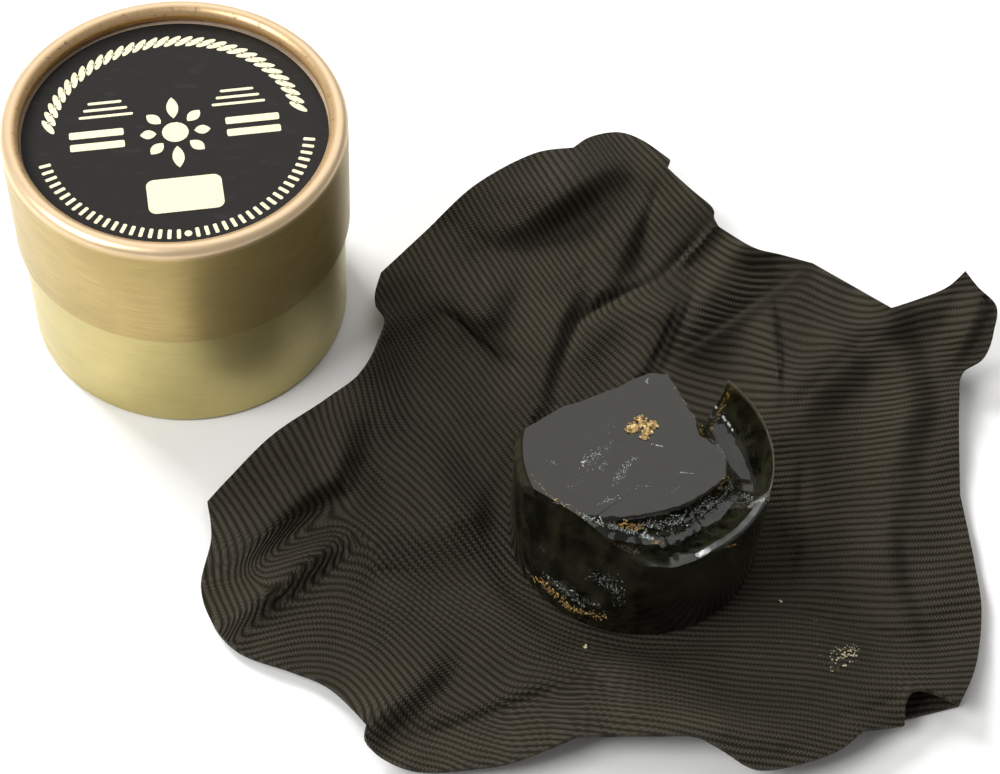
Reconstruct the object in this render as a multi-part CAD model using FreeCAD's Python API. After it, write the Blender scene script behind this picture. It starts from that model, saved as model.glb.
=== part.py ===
"""A used cake of bow rosin on its cloth, with its two-piece gold paper box standing behind it.

Millimetres, +Z up.  The origin is on the table, under the centre of the cake.
Each function makes one sub-part in place, and the last lines write one STEP file for each.
"""

import FreeCAD, Part

import math
import os

Vector = FreeCAD.Vector
UP = Vector(0, 0, 1)

# ---------------------------------------------------------------- box: closed, standing on the table
BOX_X = -77.2
BOX_Y = 42.6
BOX_HEIGHT = 44.5
WRAP_T = 0.15             # gold paper glued round both tubes
RUNNING_GAP = 0.1         # between the lid's bore and the base's outside
GLUE_GAP = 0.02           # between pieces that touch without sharing a face

LID_R = 27.5              # outside, over the wrap
LID_WALL = 0.6
LID_SKIRT_Z = 22.4        # lower edge of the lid when the box is closed
CURL_R = 1.5              # rolled top edge of the lid, over the wrap
CURL_END_DEG = 285.0      # how far round the roll goes, from straight outwards
DISC_T = 1.2
LABEL_R = 24.3
LABEL_T = 0.12

LID_BORE_R = LID_R - WRAP_T - LID_WALL
CURL_X = LID_R - CURL_R
CURL_Z = BOX_HEIGHT - CURL_R
LID_DISC_TOP = BOX_HEIGHT - 2 * CURL_R - GLUE_GAP

BASE_R = LID_BORE_R - RUNNING_GAP
BASE_BORE_R = 25.45       # a two-inch mandrel
BASE_TOP_GAP = 0.3        # the closed lid's disc stays this far above the base
BASE_TOP = LID_DISC_TOP - DISC_T - BASE_TOP_GAP
FOOT_R = 0.7              # rounded lower edge of the base, over the wrap
BASE_DISC_Z = 0.9         # the bottom disc is set a little way up the bore

# ---------------------------------------------------------------- cloth
CLOTH_T = 0.8
TABLE_BITE = 0.25         # the lower side of the sheet is planed off this far at the table
GRID_STEP = 4.0
GRID_X = (-76.0, 72.0)
GRID_Y = (-56.0, 96.0)
SEAT_R = 23.0             # the cloth is pressed flat under the cake out to here
SEAT_BLEND = 9.0          # and reaches its folds this much further out

# Free edge of the cloth: smooth runs that meet at corners, counter-clockwise.
CLOTH_EDGE = [
    [(53.5, 10), (54, 24), (55, 36), (60, 41), (62, 50), (57.5, 58)],
    [(57.5, 58), (52, 53), (44, 48.5)],
    [(44, 48.5), (38, 52.5), (30.5, 57.5), (22, 59.5), (14, 64.5), (12, 71), (5, 79.5)],
    [(5, 79.5), (0, 84), (-5, 85.8), (-12, 82), (-20, 79), (-30, 70), (-38, 59), (-45, 49)],
    [(-45, 49), (-45.5, 43), (-43.5, 38), (-46, 28), (-52, 21), (-60, 13), (-66, 4), (-69, -1)],
    [(-69, -1), (-67.5, -8), (-68, -18), (-64.5, -26), (-58, -30), (-47, -33), (-38, -45)],
    [(-38, -45), (-30, -46.5), (-22, -46), (-11, -40.5), (3, -38), (12, -39), (20, -42.5),
     (28, -41), (36, -34.7), (42, -33.5)],
    [(42, -33.5), (43, -28.5), (50, -29.5), (54, -22), (55.5, -12), (55, -3), (53.5, 10)],
]

# Soft folds: crest from (x, y) to (x, y), crest height, half width, fade at the ends.
FOLDS = [
    ((-38, 62), (-16, 78), 4.0, 9.0, 10.0),
    ((-40, 34), (-27, 46), 5.0, 9.0, 9.0),
    ((-12, 42), (8, 50), 5.0, 9.0, 8.0),
    ((-6, 70), (-4, 86), 3.5, 9.0, 10.0),
    ((16, 36), (25, 58), 6.0, 8.0, 8.0),
    ((35, 44), (36, -12), 4.0, 7.0, 12.0),
    ((50, 40), (50, -14), 4.0, 7.0, 12.0),
    ((58, 60), (50, 44), 10.0, 9.0, 8.0),
    ((-62, -10), (-40, -5), 4.0, 8.0, 10.0),
    ((-56, -24), (-34, -34), 3.5, 8.0, 8.0),
    ((-44, 20), (-30, 12), 3.0, 8.0, 8.0),
    ((-24, -38), (12, -33), 3.0, 7.0, 9.0),
    ((22, -36), (50, -26), 4.5, 8.0, 8.0),
]

# ---------------------------------------------------------------- cake
CAKE_R = 20.2
CAKE_TOP = 22.8
CAKE_Z = CLOTH_T + 0.05
CAKE_EDGE_R = 1.3         # moulded rounding of the top edge
CAKE_FOOT_R = 0.5
CUT_TOP = CAKE_TOP + 1.0  # the tools start this high, clear of the cake

# Broken faces as stacked outlines (height, points).  Each tool is the loft through its outlines.
BACK_BREAK = [
    (CUT_TOP, [(-23, -2), (-18.9, 0.6), (-17.3, 3.5), (-13.7, 6.7), (-7.8, 10.2), (2.4, 15.6),
               (3.2, 30), (-30, 30)]),
    (11.0, [(-25, 0.6), (-20.4, 2.6), (-18.6, 5.9), (-15.2, 9.6), (-9.4, 13.0), (-0.4, 18.2),
            (2.2, 31), (-31, 30)]),
    (2.0, [(-27, 5), (-23.3, 7.4), (-21.3, 10.4), (-17.9, 13.8), (-12.4, 17.0), (-3.4, 22.6),
           (-1.0, 32), (-32, 30)]),
]
NOTCH_BREAK = [
    (CUT_TOP, [(2.4, 15.9), (7.2, 8.6), (8.9, 4.7), (13.6, 14.9), (17.5, 25), (3.2, 30)]),
    (13.0, [(4.2, 18.6), (8.3, 13.2), (10.3, 10.8), (12.6, 15.9), (16.5, 25), (4.6, 30)]),
    (3.0, [(7.0, 20.6), (9.0, 19.2), (10.4, 18.6), (11.2, 18.4), (15.5, 25), (7.6, 30)]),
]
FACET_DIST = 16.4         # front-left flake: its plane at the top, from the cake's axis
FACET_AZ = -123.0
FACET_LEAN = 11.0         # degrees off upright
FACET_FOOT_Z = 3.8

SCOOP_R = 16.3            # deep bowl behind the thin right-hand wall
SCOOP_AZ = 15.0
SCOOP_HALF = (4.6, 10.8, 8.0)      # radial, along the wall, down

MOAT_R = 16.6             # shallow trough round the front
MOAT_TUBE_R = 5.0
MOAT_RISE = 2.3           # the trough's centre line above the top
MOAT_START_AZ = -97.0
MOAT_SWEEP = 82.0

# ---------------------------------------------------------------- loose crumbs
# Plan position, size and turn of each crumb on the cloth.
CRUMBS = [
    (33.0, -22.0, 1.2, 20.0),
    (34.6, -21.1, 0.8, 75.0),
    (31.8, -23.2, 0.7, 130.0),
    (33.9, -23.6, 0.6, 200.0),
    (26.5, -13.4, 0.9, 40.0),
    (-7.0, -25.6, 1.0, 95.0),
]
CRUMB_ASPECT = 0.7        # height over width
TOP_CHIP = (-0.5, 4.7, 4.0, 25.0)
TOP_CHIP_ASPECT = 0.3


def box_place(shape):
    """Move a shape made round the Z axis to where the box stands."""
    shape.translate(Vector(BOX_X, BOX_Y, 0))
    return shape


def polar(radius, degrees, z=0.0):
    angle = math.radians(degrees)
    return Vector(radius * math.cos(angle), radius * math.sin(angle), z)


def revolve(edges):
    """Turn a closed profile in the XZ plane once round the Z axis."""
    face = Part.Face(Part.Wire(Part.__sortEdges__(edges)))
    return face.revolve(Vector(0, 0, 0), UP, 360)


def chain(points):
    """Straight edges through the points, in order."""
    return [Part.makeLine(a, b) for a, b in zip(points, points[1:])]


def ring_section(inner, outer, low, high):
    corners = [(inner, low), (outer, low), (outer, high), (inner, high), (inner, low)]
    return chain([Vector(x, 0, z) for x, z in corners])


def curl_point(radius, degrees):
    angle = math.radians(degrees)
    return Vector(CURL_X + radius * math.cos(angle), 0, CURL_Z + radius * math.sin(angle))


def curl_arc(radius):
    """The roll's section at one radius, from straight outwards over the top to its end."""
    start, middle, end = (curl_point(radius, d) for d in (0, CURL_END_DEG / 2, CURL_END_DEG))
    return Part.Arc(start, middle, end).toShape()


def curled_wall(inner, outer):
    """A skirt whose top edge rolls inwards, between two radii measured from the roll's centre."""
    skirt = [Vector(CURL_X + outer, 0, CURL_Z), Vector(CURL_X + outer, 0, LID_SKIRT_Z),
             Vector(CURL_X + inner, 0, LID_SKIRT_Z), Vector(CURL_X + inner, 0, CURL_Z)]
    end = Part.makeLine(curl_point(outer, CURL_END_DEG), curl_point(inner, CURL_END_DEG))
    return box_place(revolve(chain(skirt) + [curl_arc(outer), curl_arc(inner), end]))


def lid_wrap():
    return curled_wall(CURL_R - WRAP_T, CURL_R)


def lid_tube():
    return curled_wall(CURL_R - WRAP_T - LID_WALL, CURL_R - WRAP_T)


def disc(radius, thickness, z):
    return box_place(Part.makeCylinder(radius, thickness, Vector(0, 0, z)))


def lid_disc():
    return disc(LID_BORE_R, DISC_T, LID_DISC_TOP - DISC_T)


def lid_label():
    return disc(LABEL_R, LABEL_T, LID_DISC_TOP)


def footed_section(outer, foot, low):
    """Half-section of a wall with a rounded outer foot, from its bore round to its top."""
    bend = outer - foot
    slant = foot * math.sqrt(0.5)
    arc = Part.Arc(Vector(bend, 0, low), Vector(bend + slant, 0, low + foot - slant),
                   Vector(outer, 0, low + foot)).toShape()
    side = Part.makeLine(Vector(outer, 0, low + foot), Vector(outer, 0, BASE_TOP))
    return arc, side, bend


def base_tube():
    low = WRAP_T
    outer = BASE_R - WRAP_T
    arc, side, bend = footed_section(outer, FOOT_R - WRAP_T, low)
    rest = chain([Vector(outer, 0, BASE_TOP), Vector(BASE_BORE_R, 0, BASE_TOP),
                  Vector(BASE_BORE_R, 0, low), Vector(bend, 0, low)])
    return box_place(revolve([arc, side] + rest))


def base_wrap():
    """Paper round the outside of the base, turned under its foot."""
    arc, side, bend = footed_section(BASE_R, FOOT_R, 0)
    inner_arc, inner_side, _ = footed_section(BASE_R - WRAP_T, FOOT_R - WRAP_T, WRAP_T)
    top = Part.makeLine(Vector(BASE_R, 0, BASE_TOP), Vector(BASE_R - WRAP_T, 0, BASE_TOP))
    turn = chain([Vector(bend, 0, 0), Vector(BASE_BORE_R, 0, 0),
                  Vector(BASE_BORE_R, 0, WRAP_T), Vector(bend, 0, WRAP_T)])
    return box_place(revolve([arc, side, inner_arc, inner_side, top] + turn))


def base_disc():
    return disc(BASE_BORE_R, DISC_T, BASE_DISC_Z)


def smooth(t):
    """0 to 1 with level ends."""
    t = min(max(t, 0.0), 1.0)
    return t * t * (3 - 2 * t)


def fold_height(x, y, fold):
    """Height one fold adds at a point: a rounded ridge that fades at both ends."""
    (ax, ay), (bx, by), height, half_width, fade = fold
    length = math.hypot(bx - ax, by - ay)
    ux, uy = (bx - ax) / length, (by - ay) / length
    along = (x - ax) * ux + (y - ay) * uy
    across = (y - ay) * ux - (x - ax) * uy
    past = max(-along, along - length, 0.0)
    return height * smooth(1 - abs(across) / half_width) * smooth(1 - past / fade)


def cloth_top(x, y):
    """Height of the cloth's upper side above the table."""
    lift = smooth((math.hypot(x, y) - SEAT_R) / SEAT_BLEND)
    return CLOTH_T + lift * max(fold_height(x, y, fold) for fold in FOLDS)


def steps(low, high):
    count = round((high - low) / GRID_STEP)
    return [low + i * GRID_STEP for i in range(count + 1)]


def cloth():
    """One sheet of even thickness, draped in soft folds and level where it lies on the table."""
    rows = [[Vector(x, y, cloth_top(x, y)) for y in steps(*GRID_Y)] for x in steps(*GRID_X)]
    surface = Part.BSplineSurface()
    surface.interpolate(rows)
    sheet = surface.toShape().extrude(Vector(0, 0, -CLOTH_T - TABLE_BITE))
    runs = []
    for points in CLOTH_EDGE:
        curve = Part.BSplineCurve()
        curve.interpolate([Vector(x, y, 0) for x, y in points])
        runs.append(curve.toShape())
    outline = Part.Face(Part.Wire(runs))
    return sheet.common(outline.extrude(UP * BOX_HEIGHT)).Solids[0]


def polygon(points, z):
    corners = [Vector(x, y, z) for x, y in points]
    return Part.makePolygon(corners + corners[:1])


def loft(sections):
    return Part.makeLoft([polygon(points, z) for z, points in sections], True, True)


def facet_tool():
    """Everything outside the flat flake on the front-left wall, down to its foot."""
    size = 4 * CAKE_R
    block = Part.makeBox(size, size, size, Vector(0, -size / 2, -size))
    block.rotate(Vector(0, 0, 0), Vector(0, 1, 0), -FACET_LEAN)
    block.rotate(Vector(0, 0, 0), UP, FACET_AZ)
    block.translate(polar(FACET_DIST, FACET_AZ, CAKE_TOP))
    above = Part.makeBox(size, size, size, Vector(-size / 2, -size / 2, FACET_FOOT_Z))
    return block.common(above)


def scoop_tool():
    radial, along, down = SCOOP_HALF
    stretch = FreeCAD.Matrix()
    stretch.scale(Vector(radial, along, down))
    bowl = Part.makeSphere(1.0).transformGeometry(stretch)
    bowl.rotate(Vector(0, 0, 0), UP, SCOOP_AZ)
    bowl.translate(polar(SCOOP_R, SCOOP_AZ, CAKE_TOP))
    return bowl


def moat_tool():
    ring = Part.makeTorus(MOAT_R, MOAT_TUBE_R, Vector(0, 0, 0), UP, 0, 360, MOAT_SWEEP)
    ring.rotate(Vector(0, 0, 0), UP, MOAT_START_AZ)
    ring.translate(Vector(0, 0, CAKE_TOP + MOAT_RISE))
    return ring


def rosin_cake():
    cake = Part.makeCylinder(CAKE_R, CAKE_TOP - CAKE_Z, Vector(0, 0, CAKE_Z))
    rims = {edge.BoundBox.ZMax: edge for edge in cake.Edges if len(edge.Vertexes) == 1}
    cake = cake.makeFillet(CAKE_EDGE_R, [rims[max(rims)]])
    foot = [e for e in cake.Edges if len(e.Vertexes) == 1 and abs(e.BoundBox.ZMax - CAKE_Z) < GLUE_GAP]
    cake = cake.makeFillet(CAKE_FOOT_R, foot)
    for tool in (loft(BACK_BREAK), loft(NOTCH_BREAK), facet_tool(), scoop_tool(), moat_tool()):
        cake = cake.cut(tool)
    return max(cake.Solids, key=lambda solid: solid.Volume)


def chip(x, y, z, size, turn, aspect):
    """A small broken chip: four-sided foot, smaller skewed top."""
    half = size / 2
    foot = [(-half, -0.6 * half), (0.7 * half, -half), (half, 0.5 * half), (-0.5 * half, half)]
    crown = [(0.5 * px + 0.15 * half, 0.45 * py) for px, py in foot]
    shape = loft([(0.0, foot), (size * aspect, crown)])
    shape.rotate(Vector(0, 0, 0), UP, turn)
    shape.translate(Vector(x, y, z))
    return shape


def rosin_crumbs():
    chips = []
    for x, y, size, turn in CRUMBS:
        corners = [(x + i * size / 2, y + j * size / 2) for i in (-1, 0, 1) for j in (-1, 0, 1)]
        rest = max(cloth_top(cx, cy) for cx, cy in corners) + 2 * GLUE_GAP
        chips.append(chip(x, y, rest, size, turn, CRUMB_ASPECT))
    return Part.makeCompound(chips)


def top_chip():
    x, y, size, turn = TOP_CHIP
    return chip(x, y, CAKE_TOP + GLUE_GAP, size, turn, TOP_CHIP_ASPECT)


NODES = [lid_tube, lid_wrap, lid_disc, lid_label, base_tube, base_wrap, base_disc, cloth,
         rosin_crumbs, rosin_cake, top_chip]

os.makedirs("parts", exist_ok=True)
for make in NODES:
    make().exportStep("parts/" + make.__name__ + ".step")
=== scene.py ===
"""Looks for a used rosin cake on its ribbed cloth, with its gold paper box behind it.

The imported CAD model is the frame.  The box's own parts stay and get materials; the cloth, the cake, its
chip and the loose crumbs are rebuilt here at full detail.  +Z up, origin on the table under the cake.
Shapes are worked out in millimetres and written to Blender in metres.
"""

import math
import random
from contextlib import contextmanager

import bmesh
import bpy
import numpy as np
from mathutils import Matrix, Vector
from mathutils.bvhtree import BVHTree
from mathutils.geometry import delaunay_2d_cdt


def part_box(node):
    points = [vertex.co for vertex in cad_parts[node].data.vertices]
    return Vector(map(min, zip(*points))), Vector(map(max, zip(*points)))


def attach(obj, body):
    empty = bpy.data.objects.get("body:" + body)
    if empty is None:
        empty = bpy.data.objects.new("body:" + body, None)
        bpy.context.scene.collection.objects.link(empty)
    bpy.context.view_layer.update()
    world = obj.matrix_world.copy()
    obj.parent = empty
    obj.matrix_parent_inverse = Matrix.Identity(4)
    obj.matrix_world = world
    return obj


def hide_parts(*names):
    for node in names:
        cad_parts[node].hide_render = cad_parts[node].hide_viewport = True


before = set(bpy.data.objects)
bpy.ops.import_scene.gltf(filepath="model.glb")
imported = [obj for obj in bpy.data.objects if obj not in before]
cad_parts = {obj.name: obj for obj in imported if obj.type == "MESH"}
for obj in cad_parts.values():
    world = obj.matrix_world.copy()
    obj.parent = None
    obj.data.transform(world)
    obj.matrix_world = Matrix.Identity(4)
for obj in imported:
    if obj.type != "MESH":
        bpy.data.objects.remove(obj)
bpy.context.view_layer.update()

MM = 0.001

# -------- places taken from the frame
CAKE_LOW, CAKE_HIGH = (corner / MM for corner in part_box("rosin_cake"))
CAKE_R = (CAKE_HIGH.x - CAKE_LOW.x) / 2
LID_LOW, LID_HIGH = (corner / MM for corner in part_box("lid_wrap"))
BOX_X = (LID_LOW.x + LID_HIGH.x) / 2
BOX_Y = (LID_LOW.y + LID_HIGH.y) / 2
LID_R = (LID_HIGH.x - LID_LOW.x) / 2
LABEL_TOP = (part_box("lid_label")[1] / MM).z

# -------- camera: the cloth is laid out by it too
CAMERA_AT = Vector((-23.04, -214.31, 323.49))
LOOK_AT = Vector((-23.04, 27.36, 0.0))
CAMERA_ROLL = math.radians(3.72)
CAMERA_LENS = 85.9


# ======== small helpers
def smooth(t):
    t = np.clip(t, 0.0, 1.0)
    return t * t * (3 - 2 * t)


def mesh_object(name, vertices, faces, material=None):
    """A mesh piece from points in millimetres."""
    mesh = bpy.data.meshes.new(name)
    mesh.from_pydata([tuple(v) for v in np.asarray(vertices, float) * MM], [], faces)
    mesh.update()
    obj = bpy.data.objects.new(name, mesh)
    bpy.context.scene.collection.objects.link(obj)
    if material:
        mesh.materials.append(material)
    return obj


def shade(obj, sharp_degrees=180.0):
    """Smooth shading, with edges sharper than the angle left crisp."""
    obj.data.polygons.foreach_set("use_smooth", [True] * len(obj.data.polygons))
    limit = math.radians(sharp_degrees)
    with editing(obj) as bm:
        for edge in bm.edges:
            edge.smooth = len(edge.link_faces) == 2 and edge.calc_face_angle(0.0) < limit
    return obj


def finish(piece, body, replaced=None):
    """Put a piece on its body, and hide the CAD node it takes the place of."""
    if replaced:
        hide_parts(replaced)
    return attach(piece, body)


@contextmanager
def editing(obj):
    """The object's mesh as a bmesh, written back at the end."""
    bm = bmesh.new()
    bm.from_mesh(obj.data)
    yield bm
    bm.to_mesh(obj.data)
    bm.free()


def apply_modifiers(obj):
    graph = bpy.context.evaluated_depsgraph_get()
    mesh = bpy.data.meshes.new_from_object(obj.evaluated_get(graph))
    obj.modifiers.clear()
    obj.data = mesh
    return obj


def boolean(obj, other, operation="DIFFERENCE"):
    """Cut obj with other, or keep what they share, and drop other."""
    modifier = obj.modifiers.new("cut", "BOOLEAN")
    modifier.operation = operation
    modifier.solver = "MANIFOLD"
    modifier.object = other
    apply_modifiers(obj)
    bpy.data.objects.remove(other)
    return obj


def merge_close(obj, reach, top):
    """Join points nearer than reach millimetres, drop the slivers between them, and keep the top level."""
    with editing(obj) as bm:
        bmesh.ops.triangulate(bm, faces=bm.faces)
        bmesh.ops.remove_doubles(bm, verts=bm.verts, dist=reach * MM)
        bmesh.ops.dissolve_degenerate(bm, edges=bm.edges, dist=reach * MM)
        for vertex in bm.verts:
            if abs(vertex.co.z / MM - top) < 0.02:
                vertex.co.z = top * MM


def value_noise(x, y, cell, seed):
    """Smooth repeatable noise in -1..1 at points x, y, with features about one cell wide."""
    u, v = x / cell, y / cell
    i, j = np.floor(u), np.floor(v)
    fu, fv = smooth(u - i), smooth(v - j)

    def corner(a, b):
        s = np.sin(a * 127.1 + b * 311.7 + seed * 74.7) * 43758.5453
        return 2 * (s - np.floor(s)) - 1

    low = corner(i, j) * (1 - fu) + corner(i + 1, j) * fu
    high = corner(i, j + 1) * (1 - fu) + corner(i + 1, j + 1) * fu
    return low * (1 - fv) + high * fv


def spread(rows, column, at):
    """Smooth reading of one column of a table at positions in its first column."""
    table = np.array(rows, float)
    x, y = table[:, 0], table[:, column]
    i = np.clip(np.searchsorted(x, at) - 1, 0, len(x) - 2)
    t = smooth((at - x[i]) / (x[i + 1] - x[i]))
    return y[i] + (y[i + 1] - y[i]) * t


# ======== material helpers
def new_material(name, color, roughness, **settings):
    material = bpy.data.materials.new(name)
    material.use_nodes = True
    tree = material.node_tree
    shader = tree.nodes["Principled BSDF"]
    shader.inputs["Base Color"].default_value = (*color, 1)
    shader.inputs["Roughness"].default_value = roughness
    for key, value in settings.items():
        shader.inputs[key.replace("_", " ")].default_value = value
    return material, tree, shader


def node(tree, kind, attributes=None, **inputs):
    """Add a node; inputs are values or sockets, by name with _ for a space, or by number as i0, i1."""
    made = tree.nodes.new("ShaderNode" + kind)
    for key, value in (attributes or {}).items():
        setattr(made, key, value)
    for key, value in inputs.items():
        numbered = key[0] == "i" and key[1:].isdigit()
        socket = made.inputs[int(key[1:])] if numbered else made.inputs[key.replace("_", " ")]
        if isinstance(value, bpy.types.NodeSocket):
            tree.links.new(value, socket)
        else:
            socket.default_value = value
    return made


def feed(shader, **sockets):
    """Link sockets to a shader's inputs, by name with _ for a space."""
    for key, value in sockets.items():
        shader.id_data.links.new(value, shader.inputs[key.replace("_", " ")])


def math_node(tree, operation, *values):
    inputs = {"i%d" % i: value for i, value in enumerate(values)}
    return node(tree, "Math", {"operation": operation}, **inputs).outputs[0]


def times(tree, a, b):
    return math_node(tree, "MULTIPLY", a, b)


def scaled(tree, value, factor, offset):
    return math_node(tree, "MULTIPLY_ADD", value, factor, offset)


def place(tree):
    """The point being shaded, in the row frame, in millimetres."""
    coordinates = node(tree, "TexCoord").outputs["Object"]
    return node(tree, "VectorMath", {"operation": "SCALE"}, Vector=coordinates, Scale=1 / MM).outputs[0]


def noise(tree, where, scale, detail=4.0, roughness=0.55, stretch=(1, 1, 1)):
    """Noise in 0..1; scale is features per millimetre."""
    moved = node(tree, "Mapping", Vector=where, Scale=stretch).outputs[0]
    made = node(tree, "TexNoise", Vector=moved, Scale=scale, Detail=detail, Roughness=roughness)
    return made.outputs[0]


def ramp(tree, value, low, high, low_out=0.0, high_out=1.0):
    """Straight-line rescale of a value, clamped at both ends."""
    return node(tree, "MapRange", Value=value, From_Min=low, From_Max=high,
                To_Min=low_out, To_Max=high_out).outputs[0]


def mix_color(tree, factor, a, b, blend="MIX"):
    made = node(tree, "Mix", {"data_type": "RGBA", "blend_type": blend}, i0=factor)
    for socket, value in ((made.inputs[6], a), (made.inputs[7], b)):
        if isinstance(value, bpy.types.NodeSocket):
            tree.links.new(value, socket)
        else:
            socket.default_value = (*value, 1)
    return made.outputs[2]


def bump(tree, height, distance_mm, strength=1.0, normal=None):
    inputs = {"Height": height, "Distance": distance_mm * MM, "Strength": strength}
    if normal:
        inputs["Normal"] = normal
    return node(tree, "Bump", **inputs).outputs[0]


def use(material, *nodes):
    """Give CAD nodes a material."""
    for name in nodes:
        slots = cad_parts[name].data.materials
        slots.clear()
        slots.append(material)


# ======== box materials
def around_box(tree):
    """Millimetres round the box's wall, height, and distance from its axis."""
    centred = node(tree, "VectorMath", {"operation": "SUBTRACT"}, i0=place(tree), i1=(BOX_X, BOX_Y, 0))
    split = node(tree, "SeparateXYZ", Vector=centred.outputs[0])
    x, y, z = split.outputs
    angle = math_node(tree, "ARCTAN2", y, x)
    run = times(tree, angle, LID_R)
    flat = node(tree, "CombineXYZ", X=x, Y=y).outputs[0]
    radius = node(tree, "VectorMath", {"operation": "LENGTH"}, Vector=flat).outputs["Value"]
    return run, z, radius


def gold_paper(name, color, deep, roughness, brushing):
    """Metallised paper: satin gold with fine lines round the wall and soft handling marks."""
    material, tree, shader = new_material(name, color, roughness, Metallic=0.66)
    run, height, radius = around_box(tree)
    wall = node(tree, "CombineXYZ", X=run, Y=height, Z=radius).outputs[0]
    lines = noise(tree, wall, 1.0, 3.0, 0.6, (0.12, 7.0, 2.0))
    blotches = noise(tree, wall, 0.09, 3.0, 0.5)
    tint = mix_color(tree, ramp(tree, blotches, 0.35, 0.7), color, deep)
    streaked = mix_color(tree, ramp(tree, lines, 0.3, 0.75, 0.0, brushing), tint, (0.2, 0.15, 0.06))
    worn = ramp(tree, lines, 0.3, 0.7, roughness - 0.05, roughness + 0.1)
    grain = noise(tree, wall, 2.2, 2.0, 0.5)
    rough = bump(tree, lines, 0.05, 0.35)
    feed(shader, Base_Color=streaked, Roughness=worn, Normal=bump(tree, grain, 0.03, 0.25, rough))
    return material, tree, shader, (streaked, height, radius, wall)


def lid_gold():
    """The lid's paper, painted pale over the roll as a highlight, worn with dark nicks and browner on its
    inner side, and painted orange low on the recess wall as its warm shade.
    """
    material, tree, shader, (base, height, radius, wall) = gold_paper(
        "lid_gold_paper", (0.53, 0.395, 0.15), (0.44, 0.33, 0.115), 0.36, 0.5)
    # painted highlight: the top of the roll is painted pale pinkish gold where it catches the light
    roll = ramp(tree, height, LID_HIGH.z - 2.2, LID_HIGH.z - 0.9)
    pale = mix_color(tree, roll, base, (0.80, 0.60, 0.38))
    # browner towards the inner side; low on the recess wall the orange is painted shade of the recess
    throat = ramp(tree, radius, 25.9, 25.3)
    low = times(tree, throat, ramp(tree, height, LID_HIGH.z - 1.0, LID_HIGH.z - 1.8))
    brown = mix_color(tree, times(tree, throat, 0.55), pale, (0.50, 0.29, 0.11))
    orange = mix_color(tree, low, brown, (0.80, 0.44, 0.11))
    nicks = ramp(tree, noise(tree, wall, 0.8, 6.0, 0.75, (1, 1, 0.6)), 0.55, 0.66)
    band = times(tree, ramp(tree, radius, 25.6, 25.2),
                     ramp(tree, height, LID_HIGH.z - 1.6, LID_HIGH.z - 0.9))
    worn = times(tree, times(tree, nicks, band), 0.7)
    feed(shader, Base_Color=mix_color(tree, worn, orange, (0.10, 0.05, 0.02)))
    return material


def board():
    """Grey-brown rolled board with fibres."""
    material, tree, shader = new_material("board", (0.36, 0.29, 0.21), 0.85)
    where = place(tree)
    fibres = noise(tree, where, 1.6, 6.0, 0.7, (1, 1, 0.4))
    fleck = ramp(tree, noise(tree, where, 3.5, 2.0, 0.5), 0.62, 0.72)
    tone = mix_color(tree, fibres, (0.26, 0.2, 0.14), (0.46, 0.38, 0.28))
    final = mix_color(tree, times(tree, fleck, 0.5), tone, (0.62, 0.55, 0.45))
    feed(shader, Base_Color=final, Normal=bump(tree, fibres, 0.15, 0.5))
    return material


def label_black():
    """Matt black coated paper, faintly scuffed."""
    material, tree, shader = new_material("label_paper", (0.03, 0.028, 0.026), 0.5, Specular_IOR_Level=0.2)
    where = place(tree)
    fibres = noise(tree, where, 2.5, 5.0, 0.65)
    scuffs = ramp(tree, noise(tree, where, 0.22, 6.0, 0.75, (1.0, 2.2, 1)), 0.56, 0.72)
    tone = mix_color(tree, fibres, (0.010, 0.0095, 0.009), (0.018, 0.017, 0.0155))
    final = mix_color(tree, times(tree, scuffs, 0.35), tone, (0.05, 0.046, 0.042))
    rough = ramp(tree, fibres, 0.3, 0.7, 0.42, 0.6)
    feed(shader, Base_Color=final, Roughness=rough, Normal=bump(tree, fibres, 0.03, 0.4))
    return material


def label_ink():
    """Cream ink with a slightly uneven cover."""
    material, tree, shader = new_material("label_ink", (0.80, 0.74, 0.52), 0.55)
    cover = noise(tree, place(tree), 3.0, 5.0, 0.7)
    tone = mix_color(tree, ramp(tree, cover, 0.3, 0.75), (0.74, 0.69, 0.50), (0.62, 0.56, 0.37))
    feed(shader, Base_Color=tone)
    return material


# ======== print on the lid's label: plain ornament, no lettering
INK_T = 0.04
INK_SINK = 0.01           # how far the ink goes into the paper
ROPE_R = 20.2             # rope border round the back half
ROPE_STEP = 5.2           # degrees
TICKS_R = 21.3            # ring of bars round the front half
TICKS_STEP = 3.9          # degrees
BAR_LENGTH = 8.6


class Ink:
    """Collects flat raised shapes on the label, in millimetres from its centre."""

    def __init__(self):
        self.vertices, self.faces = [], []

    def shape(self, outline):
        """A filled convex or gently curved outline, counter-clockwise."""
        n, base = len(outline), len(self.vertices)
        low, high = LABEL_TOP - INK_SINK, LABEL_TOP + INK_T
        self.vertices += [(BOX_X + x, BOX_Y + y, low) for x, y in outline]
        self.vertices += [(BOX_X + x, BOX_Y + y, high) for x, y in outline]
        self.faces.append([base + n + i for i in range(n)])
        self.faces.append([base + i for i in reversed(range(n))])
        self.faces += [[base + i, base + (i + 1) % n, base + n + (i + 1) % n, base + n + i]
                       for i in range(n)]


def turned(points, degrees, at=(0, 0)):
    a = math.radians(degrees)
    c, s = math.cos(a), math.sin(a)
    return [(at[0] + x * c - y * s, at[1] + x * s + y * c) for x, y in points]


def polar(reach, degrees):
    return reach * math.cos(math.radians(degrees)), reach * math.sin(math.radians(degrees))


def ellipse(rx, ry, count=28):
    t = np.linspace(0, 2 * math.pi, count, endpoint=False)
    return list(zip(rx * np.cos(t), ry * np.sin(t)))


def rounded_bar(width, height, corner, count=5):
    out = []
    for k, (sx, sy) in enumerate(((1, 1), (-1, 1), (-1, -1), (1, -1))):
        for i in range(count + 1):
            a = math.pi / 2 * (k + i / count)
            out.append((sx * (width / 2 - corner) + corner * math.cos(a),
                        sy * (height / 2 - corner) + corner * math.sin(a)))
    return out


PRINT_TURN = 13.0         # the whole print sits this many degrees round from square


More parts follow.
